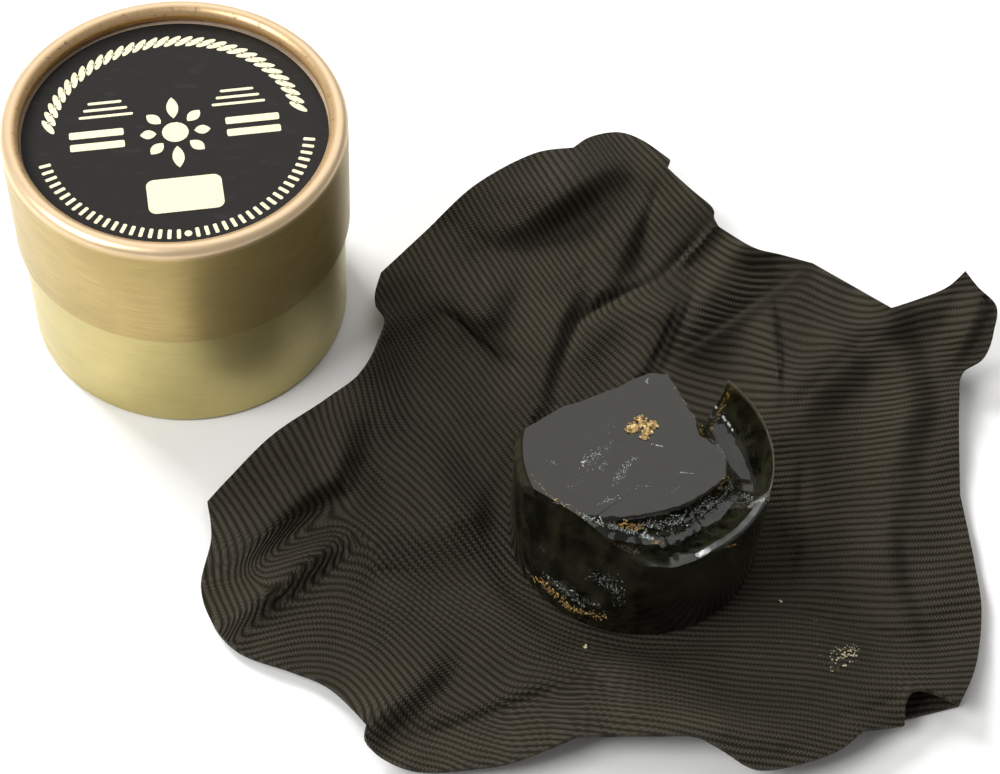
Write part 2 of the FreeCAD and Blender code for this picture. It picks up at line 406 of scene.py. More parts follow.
def label_print(material):
    ink = Ink()

    def add(points, degrees=0.0, at=(0.0, 0.0)):
        ink.shape(turned(turned(points, degrees, at), PRINT_TURN))

    # rope border: slanting strands, with dots between them
    for az in np.arange(8.0, 173.0, ROPE_STEP):
        add(ellipse(0.55, 1.75), az + 38, polar(ROPE_R, az))
    for az in np.arange(10.6, 170.0, ROPE_STEP):
        add(ellipse(0.28, 0.28, 12), az, polar(ROPE_R, az))
    # ring of short bars, with a dot at its middle
    for az in np.arange(192.0, 349.0, TICKS_STEP):
        if abs(az - 270) >= 3.5:
            add(rounded_bar(1.9, 0.62, 0.2, 3), az, polar(TICKS_R, az))
    add(ellipse(0.6, 0.6, 16), 0, (0, -TICKS_R))
    # centre rosette: leaves round a disc, with tall leaves above and below
    for k in range(8):
        a = 45.0 * k
        tall = 4.6 if k % 4 == 2 else 3.0 if k % 2 else 2.6
        leaf = [(tall * (0.5 - u), side * 0.95 * math.sin(math.pi * u) ** 0.8)
                for side, us in ((1, np.linspace(0, 1, 9)), (-1, np.linspace(1, 0, 9)[1:-1])) for u in us]
        add(leaf, a, polar(3.0 + tall / 2, a))
    add(ellipse(2.1, 2.1, 32))
    # plain bars on both sides of it, and ruled lines above them
    for side in (-1, 1):
        for k in range(2):
            add(rounded_bar(BAR_LENGTH, 1.5, 0.3, 3), 0, (side * 12.4, 1.3 - 2.6 * k))
        for k in range(3):
            add(rounded_bar(BAR_LENGTH - 1.6 * k, 0.55, 0.25, 3), 0, (side * 10.6, 5.0 + 1.45 * k))
    # blank panel
    add(rounded_bar(11.8, 7.0, 1.3, 6), 0, (0.3, -13.2))
    finish(mesh_object("label_print", ink.vertices, ink.faces, material), "lid")


# ======== cloth shape
CLOTH_PLANE = 2.0         # the cloth is laid out as seen from the camera, on a level plane this high
CLOTH_T = 0.7
CLOTH_FLOOR = 0.8         # height of its upper side where it lies flat
CLOTH_STEP = 0.62
SEAT_R = 21.5             # it lies flat under the cake out to here
SEAT_SHIFT = -0.9         # y of the middle of the flat part
SEAT_RISE = 4.5           # width over which it leaves the table round the cake

# Free edge: smooth runs that meet at corners, counter-clockwise.
CLOTH_EDGE = [
    [(53.5, 10), (54.2, 24), (54.9, 33.8)],
    [(54.9, 33.8), (55.8, 36), (58.8, 38.4), (60.4, 41), (61.6, 45), (62.4, 50.5), (59.5, 54.5),
     (57.5, 58)],
    [(57.5, 58), (54, 54), (49, 51), (44, 48.5)],
    [(44, 48.5), (38, 52.5), (30.5, 57.5)],
    [(30.5, 57.5), (25, 59), (20, 60.3), (14, 64.5)],
    [(14, 64.5), (13, 66.5), (12.8, 69), (9, 73), (4.5, 78)],
    [(4.5, 78), (5, 80)],
    [(5, 80), (0, 84.2), (-4.5, 85.8), (-9.5, 84.2), (-12.5, 81.3)],
    [(-12.5, 81.3), (-20, 79), (-30, 70.5), (-38, 59), (-45, 49)],
    [(-45, 49), (-45.6, 43), (-43.2, 38), (-46, 28), (-52, 21), (-60, 13), (-66, 4), (-69, -1)],
    [(-69, -1), (-67.5, -8), (-68, -17), (-65, -24), (-60, -28.5), (-52, -31), (-46, -33.5), (-40, -39.5)],
    [(-40, -39.5), (-39.2, -43), (-33, -46.4), (-25, -46), (-17, -44), (-8, -39)],
    [(-8, -39), (3, -38), (10, -37.9), (14, -39.5), (19.5, -42.8), (26, -41.3), (32, -38.5), (36, -34.8)],
    [(36, -34.8), (42.2, -33.7)],
    [(42.2, -33.7), (42.7, -29.5), (44.2, -27.2), (47, -27.4), (51, -29.3)],
    [(51, -29.3), (54, -22), (55.5, -12), (55, -3), (53.5, 10)],
]
# The corner folded underneath, seen through the gap it leaves: outline, and its height.
TUCK = [[(42.4, -32.4), (50.9, -29.4)], [(50.9, -29.4), (52.5, -25), (50, -21.5), (44, -21.5), (40.5, -25.5)],
        [(40.5, -25.5), (41, -29), (42.4, -32.4)]]
TUCK_Z = 0.85

# Heights of the broad dish that the cloth makes, along lines of (x, y, height).
FOLD_LINES = [
    # rim, from the right round the back
    [(53.5, 10, 2), (54.2, 24, 3), (55, 34, 5), (60, 41, 8), (62, 50, 10), (57.5, 58, 13)],
    [(52, 53, 10), (44, 48.5, 7), (38, 52.5, 6), (30.5, 57.5, 6), (22, 59.5, 6), (14, 64.5, 6)],
    [(12, 71, 8), (5, 79.5, 8), (0, 84, 7), (-5, 85.8, 6), (-12, 82, 7), (-20, 79, 8)],
    [(-30, 70, 8), (-38, 59, 6), (-45, 49, 5), (-45.5, 43, 4), (-43.5, 38, 5), (-46, 28, 4)],
    [(-52, 21, 2.6), (-60, 13, 1.5), (-66, 4, 1.2), (-69, -1, 1.2), (-67.5, -8, 1.4), (-68, -18, 1.4)],
    [(-64.5, -26, 2), (-58, -30, 2), (-47, -33, 3), (-38, -45, 4), (-30, -46.5, 3), (-22, -46, 4)],
    [(-11, -40.5, 6), (3, -38, 7), (12, -39, 7), (20, -42.5, 5), (28, -41, 5), (36, -34.7, 4.5)],
    [(42, -33.5, 3.2), (44, -27.5, 5.2), (50, -29, 3.8), (54, -22, 2.6), (55.5, -12, 1.7), (55, -3, 1.6)],
    # inside of the dish
    [(-43, 4, 2), (-51, -6, 1.6), (-59, -14, 1.4)],
    [(-42, -14, 2), (-51, -22, 1.4), (-59, -27, 1.4)],
    [(-26, -28, 2), (-31, -35, 2.5), (-36, -43.5, 3)],
    [(-42, 34, 3), (-41, 20, 2.6), (-40, 8, 2.4)],
    [(-33, 45, 7), (-27, 41, 5.5)],
    [(-36, 38, 3.5), (-27, 30, 2.6), (-20, 22, 2)],
    [(-12, 46, 3.4), (-14, 35, 2.4), (-15, 26, 1.8)],
    [(-24, 54, 4.2), (-16, 61, 4), (-8, 67, 4), (-2, 72, 4.5)],
    [(-20, 45, 4.2), (-10, 55, 4.6), (-4, 62, 4.8)],
    [(1, 62, 3.8), (0, 53, 3)],
    [(-10, 39, 3.6), (-1, 44, 4.4), (5, 47, 4.6)],
    [(-4, 33, 2.4), (2, 34, 2.2)],
    [(20, 56, 3.8), (18, 46, 3), (17, 38, 2.4), (16, 30, 1.8)],
    [(25, 50, 4), (25.5, 36, 4), (26, 24, 4.2), (27, 14, 3.8), (27.5, 4, 3), (27, -10, 2.2)],
    [(33, 45, 4.4), (34, 36, 2.4), (35, 26, 1.3), (35, 10, 1.1), (35, -2, 1.5)],
    [(45, 42, 3.4), (47, 30, 2.6), (46, 18, 2.4), (46, 6, 2.2), (45, -8, 2), (47, -18, 2)],
    [(-22, -14, 1.8), (-8, -23, 1.3), (4, -23, 1.3), (16, -20, 1.4), (28, -15, 1.8), (38, -18, 2.2)],
    [(-10, -34, 4.6), (5, -34, 5.6), (20, -37, 5.6), (34, -31, 4.4)],
    [(-44, -9, 2.6), (-34, -9, 2.2), (-25, -9, 1.2)],
    [(-34, -17, 1.6), (-44, -20, 1.8)],
]
RUMPLES = ((10.0, 0.7, 1), (5.0, 0.3, 2))     # width, height and seed of the small unevenness
FLOOR_BLEND = 0.3         # square millimetres: how softly the folds meet the flat
LINE_STEP = 4.0           # spacing of the points taken from each line
FOLD_POWER = 1.5          # 1 gives creased crests, 2 round ones
SEAT_COUNT = 20           # points round the seat
SLACK = 0.3               # lets the surface pass a little off the points, so that it stays smooth

# Ridges added to it: crest points with heights, then how far it falls away on the line's left and right.
RIDGES = [
    # back left
    ([(-26, 56.5, 0), (-22.5, 61.5, 2.6), (-17, 67, 4.2), (-11.5, 72.5, 4.4), (-7, 77, 2.4),
      (-3, 81, 0)], 12, 6.5),
    ([(-6, 49, 0.8), (-3.5, 56, 1.6), (-1.5, 63, 1.4), (1, 71, 0)], 8, 3),
    ([(-16.5, 23, 1.4), (-15.2, 33, 3.2), (-13.4, 42, 3.2), (-11.3, 49, 0.8)], 9, 3.2),
    ([(-25, 52, 0.3), (-25.5, 46, 1.3), (-26.3, 41, 1.4), (-28.5, 38, 0.3)], 5, 9),
    # back: the plateau under the long crease, the double pleat and the gathered slope beside it
    ([(-12.8, 25, 0.9), (-11.6, 33, 1.6), (-9.5, 40, 1.8), (-4, 45, 1.6), (1, 48.5, 1.4),
      (5, 51.5, 0.6)], 1.5, 10),
    ([(13.5, 65, 0.8), (10.8, 60.5, 1.3), (7.8, 56, 1.2), (5.5, 52, 0.5)], 1.1, 1.3),
    ([(7.5, 50, 0.4), (5.4, 44, 2.2), (3.4, 38, 2.3), (0.8, 31, 1.2)], 1.6, 8),
    ([(8.8, 50, 0.3), (7.4, 45.5, 1.2), (5.4, 39, 1.2), (3.2, 32, 0.6)], 1.2, 1.1),
    ([(6, 33, 0.6), (9.5, 42, 1.9), (13.5, 51, 2.4), (17, 59, 1.8)], 4, 9.5),
    ([(6.5, 33.5, 0.3), (14.2, 40.5, 1.0), (21, 47, 1.2), (27, 53, 1.0), (29.5, 57, 0.3)], 1.4, 6),
    # right
    ([(23.9, 26, 0.3), (24.0, 34, 1.5), (23.5, 42, 1.6), (23.0, 48.5, 0.2)], 5, 0.8),
    ([(26, 22, 0.4), (30, 30.5, 2.2), (36.5, 38.5, 2.7), (43.3, 47, 0.8)], 9, 7),
    ([(45, -20, 0.3), (43, -15, 1.8), (41.3, -9, 2.5), (40.8, -2, 2.4), (41, 3, 1.6),
      (41.8, 9, 0.5)], 8, 3.6),
    ([(42, 5, 0.3), (42.5, 10, 1.6), (43, 16, 2.8), (44, 22, 3.2), (46.3, 28, 3.0), (46, 33, 2.8),
      (44.5, 38, 2.8), (43, 44, 2.4), (43, 48, 0.5)], 7, 5.5),
    ([(53.5, 37, 0.5), (56.5, 43, 2.2), (59.6, 50, 1.8)], 5, 2.2),
    # left
    ([(-62.5, -13.5, 0.2), (-60.3, -7, 3.0), (-57.5, -2, 4.4), (-54, 2.3, 4.8), (-50, 5.5, 4.4),
      (-49, 10, 3.4),
      (-48.6, 15, 2.0), (-48.5, 20, 0.4)], 9, 5.2),
    ([(-63.2, -24.5, 0.2), (-59, -18.5, 3.0), (-54.5, -13.5, 3.8), (-50, -9, 3.0),
      (-46.8, -6.3, 0.4)], 6, 5),
    ([(-59, -13, 0.3), (-53, -10, 1.2), (-46, -7, 0.3)], 2.5, 2.5),
    ([(-41, -40.5, 1.5), (-37.5, -36.5, 3.4), (-34.5, -33.5, 3.6), (-32, -30, 3.2), (-30.3, -26, 1.7),
      (-29.5, -22, 0.2)], 8, 5),
    ([(-47.5, 8, 1.8), (-48.8, 16, 3.8), (-48.2, 26, 4.2), (-46.5, 35, 3.2), (-45, 43, 1.0)], 6, 12),
    ([(-24.5, -7.5, 0.3), (-28, -1.5, 2.8), (-31.5, 4, 3.2), (-35, 9, 2.4), (-38, 15, 0.4)], 8, 8),
    # front
    ([(-12, -36, 0.3), (0, -34.5, 1.2), (12, -35.5, 1.4), (22, -38, 0.8)], 5, 3),
    ([(-34, -37.5, 0.3), (-26, -36, 1.4), (-16, -31.5, 1.4), (-8, -28, 0.3)], 5, 4),
]

# The long crease at the back, and the edge of the slope beside it.
LONG_CREASE = [(12.4, 66), (9.6, 61), (6.4, 56), (3, 51.5), (-2, 48.3), (-6.5, 45), (-10.6, 41), (-12.4, 36)]
SLOPE_EDGE = [(6, 33.5), (14.2, 40.5), (21, 47), (27, 53), (29.5, 57)]

# Narrow creases: points, depth, half width.
CREASES = [
    ([(3, 76), (2.4, 70), (0.8, 64), (-0.4, 56), (-1.2, 50)], 1.1, 0.8),
    ([(-35, 41.5), (-31, 40), (-25.5, 34.5), (-19.5, 28)], 2.0, 0.8),
    ([(-27, 39.5), (-24.5, 35.5), (-20, 30)], 0.7, 0.5),
    ([(-30, 57), (-28, 52), (-26.5, 46)], 0.7, 0.7),
    ([(-27.5, 58), (-25.5, 52), (-24, 46)], 0.5, 0.6),
    (LONG_CREASE, 1.5, 0.9),
    ([(43.5, 46.5), (36, 38), (29, 29.5), (25, 22)], 0.6, 1.3),
    ([(21, -12), (30, -15), (38, -16.8), (47, -19.5)], 1.0, 1.0),
    ([(27.8, 17), (27.2, 8), (26.4, 0), (25, -7), (22.6, -13)], 1.5, 1.0),
    ([(-44, -12), (-34, -12), (-22, -11.5)], 0.9, 0.9),
    ([(-37, 12), (-31, 3.5), (-24, -7)], 0.5, 0.8),
    ([(30, -33.5), (37, -31.5), (43, -28)], 0.7, 0.8),
    ([(-36, -39.5), (-30, -40.3), (-24, -37.6), (-16, -33.4), (-8, -30)], 0.8, 0.9),
    ([(-8, -25), (-4.6, -29), (-1, -34)], 0.5, 1.4),
]

# Lines across which the ribs need not join up.
WEAVE_BREAKS = [
    [(-63, -26), (-58, -20), (-53, -16), (-49, -11), (-46, -8)],
    [(-62, -13.5), (-58, -8.5), (-54, -4.5), (-49, -1), (-46, 4)],
    LONG_CREASE,
    [(8, 50), (5.5, 43), (1, 31)],
    SLOPE_EDGE,
]
BREAK_WIDTH = 1.1

# The ribs stand up as small pleats along this line.
GATHER_LINE = [(8, 38), (13.5, 45), (21, 54)]
GATHER_REACH = 7.0        # how far from the line
GATHER_DEPTH = 0.26       # height of a pleat above the sheet

# Lines that the ribs follow.
RIB_FLOW = [
    # back left
    [(-36, 63), (-30, 50)], [(-24, 77), (-15, 60)], [(-10, 83), (-1, 69)], [(2, 78), (9, 69)],
    [(-12, 63), (-3, 48)], [(-23, 57), (-12, 41)], [(3, 64), (9, 57)], [(-44, 50), (-37, 36)],
    [(-38, 40), (-31, 31), (-22, 21)], [(-18, 40), (-13, 30)],
    # back
    [(-6, 46), (4, 40)], [(-11, 40), (0, 31)], [(14.5, 58), (17, 55.8), (22, 55.4), (27, 56.6)],
    [(12, 50), (15, 47.7), (19, 47.4), (23, 49)], [(7, 41.5), (9.5, 39.8), (13, 40.2), (15, 41.2)],
    [(9, 35), (17, 32.5), (23, 30)], [(18, 41), (23, 39)], [(27, 55), (33, 51), (42, 45.5)],
    [(25, 45), (36, 38.5)],
    # left
    [(-46, 37), (-41, 18)], [(-36, 22), (-30, 10), (-23, -2)], [(-60, 12), (-52, 1)], [(-66, 2), (-60, -5)],
    [(-65, -12), (-60.5, -20)], [(-50, 24), (-46, 11), (-40, -1)], [(-57, -12), (-51, -9), (-43, -6)],
    [(-54, -20), (-49.5, -16), (-45.5, -14.8), (-41, -16.5)], [(-59, -25.5), (-52, -22.5), (-46, -21.8),
                                                               (-40, -24)],
    [(-42, -3.5), (-37, -11)], [(-36, -4), (-31, -11)], [(-29, -3), (-24.5, -10)], [(-33, 7), (-26, -4)],
    # front
    [(-36, -15), (-22, -19)], [(-38, -25), (-32, -33)], [(-28, -28), (-20, -37)], [(-22, -22), (-12, -31)],
    [(-33, -40.8), (-26, -40.2), (-18, -37), (-9, -33)],
    [(-38, -42), (-33, -44.5), (-26, -44.8), (-17, -42)], [(-16, -19), (-8, -22), (0, -23.2),
                                                           (8, -22.4), (24, -22)],
    [(-8, -26.5), (0, -29), (8, -30.2), (18, -33), (28, -36.5)], [(-10, -37), (4, -36.5), (16, -39),
                                                                  (28, -38.5)],
    [(24, -16), (34, -18.5), (42, -19.5), (53, -17.5)],
    # right
    [(25, -9), (38, -5.5), (54, -1.5)], [(24, 8), (34, 11.5), (44, 13.5), (54, 17)],
    [(25, 22), (34, 24.5), (42, 25.5), (54, 30)], [(32, 36), (42, 38.5), (55, 41.5)], [(44, 45.5),
                                                                                       (60, 49.5)],
]
RIB_PITCH = 1.1
RIB_RELIEF = 0.32         # depth of the grooves between them, in the material
THREADS = 2.1             # threads that cross each rib, for each rib's width
# Where the ribs lie wider apart: points along a zone, half width, how much more.
RIB_SPREAD = (
    ([(46, 15), (48, -8)], 6.0, 0.4),
    ([(10, 40), (22, 54)], 7.0, 0.3),
    ([(28, 54), (42, 48)], 4.0, 0.35),
    ([(-14, 78), (-8, 66), (-4, 55)], 5.5, 0.4),
    ([(52, 46), (59, 50)], 4.0, 0.4),
    ([(-36, 20), (-40, 8)], 5.0, 0.25),
    ([(-34, 56), (-28, 48)], 5.0, 0.35),
)
# How deep the ribs look there: points along a zone, half width, change.
RIB_DEPTH = (
    ([(8, 38), (14, 46), (23, 56)], 5.0, 0.6),
    ([(-44, -7.5), (-25, -7.5)], 3.2, 0.9),
    ([(-12, -27), (-28, -34)], 6.0, 0.5),
    ([(-20, 70), (-8, 60), (2, 66)], 8.0, 0.3),
    ([(-10, 78), (-4, 56)], 5.0, 0.3),
    ([(46, -8), (44, 0)], 6.0, 0.4),
    ([(30, 26), (30, 0)], 4.0, -0.3),
    ([(-2, -36), (12, -35.5)], 2.2, -0.95),
    ([(-10, -26), (26, -25)], 6.0, -0.5),
    ([(28, 20), (44, 24)], 8.0, -0.2),
    ([(-40, -16), (-12, -17)], 3.4, -0.65),
    ([(-34, -44), (-14, -41)], 3.0, -0.3),
    ([(-47, 30), (-46, 12)], 4.0, -0.4),
)
RIB_GRID = 1.5            # cell of the grid on which the weave is laid
WEAVE_SPAN = ((-78.0, 72.0), (-56.0, 96.0))
OUTSIDE_TRUST = 0.02      # how far the weave heeds the wanted slopes off the sheet
WEAVE_ROUNDS = 6          # each round lets the weave slip more where it cannot stay even
WEAVE_STEPS = 700         # most steps of the solver in each round


def edge_curve(points, step):
    """Points along a smooth curve through the given ones, without the last."""
    p = np.array([points[0]] + list(points) + [points[-1]], float)
    out = []
    for a, b, c, d in zip(p, p[1:], p[2:], p[3:]):
        count = max(2, int(np.linalg.norm(c - b) / step))
        for t in np.arange(count) / count:
            out.append(0.5 * (2 * b + (c - a) * t + (2 * a - 5 * b + 4 * c - d) * t ** 2
                              + (3 * b - a - 3 * c + d) * t ** 3))
    return out


def line_points(lines, step):
    out = []
    for line in lines:
        p = np.array(line, float)
        for a, b in zip(p, p[1:]):
            count = max(1, int(round(np.linalg.norm(b[:2] - a[:2]) / step)))
            out += [a + (b - a) * i / count for i in range(count)]
        out.append(p[-1])
    return np.array(out)


def solve_folds():
    """Centres and weights of the smoothest surface through the fold lines and the flat seat."""
    ring = np.linspace(0, 2 * math.pi, SEAT_COUNT, endpoint=False)
    seat = np.stack([(SEAT_R + 1) * np.cos(ring), (SEAT_R + 1) * np.sin(ring) + SEAT_SHIFT,
                     np.full(SEAT_COUNT, CLOTH_FLOOR)], 1)
    points = np.vstack([line_points(FOLD_LINES, LINE_STEP), seat])
    xy, z = points[:, :2], points[:, 2]
    n = len(points)
    system = np.zeros((n + 3, n + 3))
    system[:n, :n] = -np.linalg.norm(xy[:, None] - xy[None], axis=2) ** FOLD_POWER - SLACK * np.eye(n)
    system[:n, n] = system[n, :n] = 1
    system[:n, n + 1:] = xy
    system[n + 1:, :n] = xy.T
    return xy, np.linalg.solve(system, np.concatenate([z, np.zeros(3)]))


FOLD_CENTRES, FOLD_WEIGHTS = solve_folds()


def fold_height(x, y):
    n = len(FOLD_CENTRES)
    total = FOLD_WEIGHTS[n] + FOLD_WEIGHTS[n + 1] * x + FOLD_WEIGHTS[n + 2] * y
    for (px, py), weight in zip(FOLD_CENTRES, FOLD_WEIGHTS):
        total = total - weight * ((x - px) ** 2 + (y - py) ** 2) ** (FOLD_POWER / 2)
    return total


def nearest_on(x, y, points):
    """Distance to a bent line, whether on its left, how far along it, and the line's last value there."""
    p = np.array(points, float)
    steps = p[1:] - p[:-1]
    lengths = np.hypot(steps[:, 0], steps[:, 1])
    distance = np.full(np.shape(x), np.inf)
    left, share, value = (np.zeros(np.shape(x)) for _ in range(3))
    done = 0.0
    for a, step, length in zip(p, steps, lengths):
        dx, dy = step[:2] / length
        t = np.clip((x - a[0]) * dx + (y - a[1]) * dy, 0, length)
        away = np.hypot(x - a[0] - t * dx, y - a[1] - t * dy)
        near = away < distance
        left = np.where(near, dx * (y - a[1]) - dy * (x - a[0]), left)
        share = np.where(near, (done + t) / lengths.sum(), share)
        value = np.where(near, a[-1] + step[-1] * t / length, value)
        distance = np.minimum(distance, away)
        done += length
    return distance, left > 0, share, value


def zones(x, y, table):
    """One, changed by each zone of a table of lines, half widths and changes."""
    total = np.ones(np.shape(x))
    for points, half_width, change in table:
        total = total + change * (1 - smooth(nearest_on(x, y, points)[0] / (1.6 * half_width)))
    return total


def gathered(x, y):
    return 1 - smooth(nearest_on(x, y, GATHER_LINE)[0] / GATHER_REACH)


def cloth_height(x, y):
    z = fold_height(x, y)
    for points, left_width, right_width in RIDGES:
        distance, left, _, height = nearest_on(x, y, points)
        z = z + height * (1 - smooth(distance / np.where(left, left_width, right_width)))
    for points, depth, width in CREASES:
        distance, _, share, _ = nearest_on(x, y, points)
        z = z - depth * smooth(np.minimum(share, 1 - share) / 0.25) * np.exp(-distance / width)
    for cell, size, seed in RUMPLES:
        z = z + size * value_noise(x, y, cell, seed)
    seat = smooth((np.hypot(x, y - SEAT_SHIFT) - SEAT_R) / SEAT_RISE)
    lift = z - CLOTH_FLOOR
    # never below the floor, and rounded where it meets it
    return CLOTH_FLOOR + 0.5 * (lift + np.sqrt(lift ** 2 + FLOOR_BLEND)) * seat


def slide_along_sight(x, y, z):
    """Move plan points so that, at height z, they are seen where they were laid out."""
    share = (CAMERA_AT.z - z) / (CAMERA_AT.z - CLOTH_PLANE)
    return CAMERA_AT.x + (x - CAMERA_AT.x) * share, CAMERA_AT.y + (y - CAMERA_AT.y) * share


def inside(px, py, loop):
    """Even-odd test of points against a closed loop."""
    result = np.zeros(px.shape, bool)
    for (ax, ay), (bx, by) in zip(loop, np.roll(loop, -1, 0)):
        if ay != by:
            result ^= ((ay > py) != (by > py)) & (px < (bx - ax) * (py - ay) / (by - ay) + ax)
    return result


def edge_loop(runs):
    return np.array([point for run in runs for point in edge_curve(run, CLOTH_STEP)])


def sheet_plan(outline):
    """Plan points and triangles that fill a loop: its edge, then an even grid inside, finer in the pleats."""
    low, high = outline.min(0), outline.max(0)
    grids = []
    for step, in_pleats in ((CLOTH_STEP, False), (CLOTH_STEP / 2, True)):
        sides = [np.arange(a, b, step) for a, b in zip(low, high)]
        gx, gy = (g.ravel() for g in np.meshgrid(*sides))
        kept = inside(gx, gy, outline) & ((gathered(gx, gy) > 0) == in_pleats)
        gx, gy = gx[kept], gy[kept]
        clear = np.full(len(gx), np.inf)
        for ax, ay in outline:
            clear = np.minimum(clear, np.hypot(gx - ax, gy - ay))
        grids.append(np.stack([gx, gy], 1)[clear > CLOTH_STEP * 0.6])
    grid = np.vstack(grids)
    count = len(outline)
    ring = [(i, (i + 1) % count) for i in range(count)]
    points = [Vector(p) for p in outline] + [Vector(p) for p in grid]
    plan, _, faces, *_ = delaunay_2d_cdt(points, ring, [], 1, 1e-6)
    return np.array([tuple(p) for p in plan]), [list(face) for face in faces]


def rib_angle(x, y):
    """Direction of the ribs, blended from the nearest flow lines as an undirected line."""
    c, s = 0.0, 0.0
    for line in RIB_FLOW:
        for a, b in zip(line, line[1:]):
            turn = 2 * math.atan2(b[1] - a[1], b[0] - a[0])
            weight = 1 / (nearest_on(x, y, (a, b))[0] ** 2 + 3.0) ** 2
            c = c + weight * math.cos(turn)
            s = s + weight * math.sin(turn)
    return 0.5 * np.arctan2(s, c)


def cell_slopes(u):
    """Slopes of a grid of values at its cell centres."""
    low, high = u[:-1, 1:] - u[:-1, :-1], u[1:, 1:] - u[1:, :-1]
    near, far = u[1:, :-1] - u[:-1, :-1], u[1:, 1:] - u[:-1, 1:]
    return (low + high) / (2 * RIB_GRID), (near + far) / (2 * RIB_GRID)


def spread_back(px, py):
    """The transpose of cell_slopes."""
    out = np.zeros((px.shape[0] + 1, px.shape[1] + 1))
    out[:-1, :-1] -= px + py
    out[:-1, 1:] += px - py
    out[1:, :-1] += py - px
    out[1:, 1:] += px + py
    return out / (2 * RIB_GRID)


def level_out(u):
    """Remove the up-and-down pattern from row to row that cell_slopes cannot see."""
    padded = np.vstack([2 * u[0] - u[1], u, 2 * u[-1] - u[-2]])
    return (padded[:-2] + 2 * padded[1:-1] + padded[2:]) / 4


def fit_slopes(want_x, want_y, trust):
    """Grid whose slopes follow the wanted ones, with its errors gathered into a few narrow lines."""
    u = np.zeros((want_x.shape[0] + 1, want_x.shape[1] + 1))
    weight = trust.copy()
    for _ in range(WEAVE_ROUNDS):
        sx, sy = cell_slopes(u)
        rest = spread_back(weight * (want_x - sx), weight * (want_y - sy))
        way = rest.copy()
        size = (rest ** 2).sum()
        start = size
        for _ in range(WEAVE_STEPS):
            if size < 1e-9 * start or size < 1e-14:
                break
            sx, sy = cell_slopes(way)
            image = spread_back(weight * sx, weight * sy)
            step = size / (way * image).sum()
            u += step * way
            rest -= step * image
            before, size = size, (rest ** 2).sum()
            way = rest + size / before * way
        sx, sy = cell_slopes(u)
        weight = trust / np.sqrt((want_x - sx) ** 2 + (want_y - sy) ** 2 + 0.01)
        u = level_out(level_out(u).T).T
    return u


def lay_weave(outline):
    """Rib and thread numbers over the plan, even along the sheet's own surface."""
    xs, ys = (np.arange(low, high, RIB_GRID) for low, high in WEAVE_SPAN)
    gx, gy = np.meshgrid(xs, ys)
    height = cloth_height(gx, gy)
    surface = (*slide_along_sight(gx, gy, height), height)
    along_x, along_y = (np.stack(part) for part in zip(*(cell_slopes(axis) for axis in surface)))
    e, f, g = (along_x ** 2).sum(0), (along_x * along_y).sum(0), (along_y ** 2).sum(0)
    cx, cy = gx[:-1, :-1] + RIB_GRID / 2, gy[:-1, :-1] + RIB_GRID / 2
    way = rib_angle(cx, cy)
    rx, ry = np.cos(way), np.sin(way)
    pitch = RIB_PITCH * zones(cx, cy, RIB_SPREAD)
    stretch = pitch * np.sqrt((g * ry * ry + 2 * f * rx * ry + e * rx * rx) / (e * g - f * f))
    tx, ty = e * rx + f * ry, f * rx + g * ry
    length = RIB_PITCH * np.sqrt(rx * tx + ry * ty)
    trust = np.where(inside(cx, cy, outline), 1.0, OUTSIDE_TRUST)
    for line in WEAVE_BREAKS:
        trust = trust * (1 - 0.9 * np.exp(-(nearest_on(cx, cy, line)[0] / BREAK_WIDTH) ** 2))
    ribs = fit_slopes(-ry / stretch, rx / stretch, trust)
    threads = fit_slopes(tx / length, ty / length, trust)

    def read(x, y):
        u, v = (x - xs[0]) / RIB_GRID, (y - ys[0]) / RIB_GRID
        return cubic_read(ribs, u, v), cubic_read(threads, u, v)

    return read


def cubic_read(table, u, v):
    """Smooth reading of a grid between its points."""
    i, j = np.floor(u).astype(int), np.floor(v).astype(int)

    def weights(t):
        return (-0.5 * t ** 3 + t ** 2 - 0.5 * t, 1.5 * t ** 3 - 2.5 * t ** 2 + 1,
                -1.5 * t ** 3 + 2 * t ** 2 + 0.5 * t, 0.5 * t ** 3 - 0.5 * t ** 2)

    wu, wv = weights(u - i), weights(v - j)
    rows, columns = table.shape
    total = 0.0
    for n in range(4):
        for m in range(4):
            row = np.clip(j + n - 1, 0, rows - 1)
            column = np.clip(i + m - 1, 0, columns - 1)
            total = total + wv[n] * wu[m] * table[row, column]
    return total


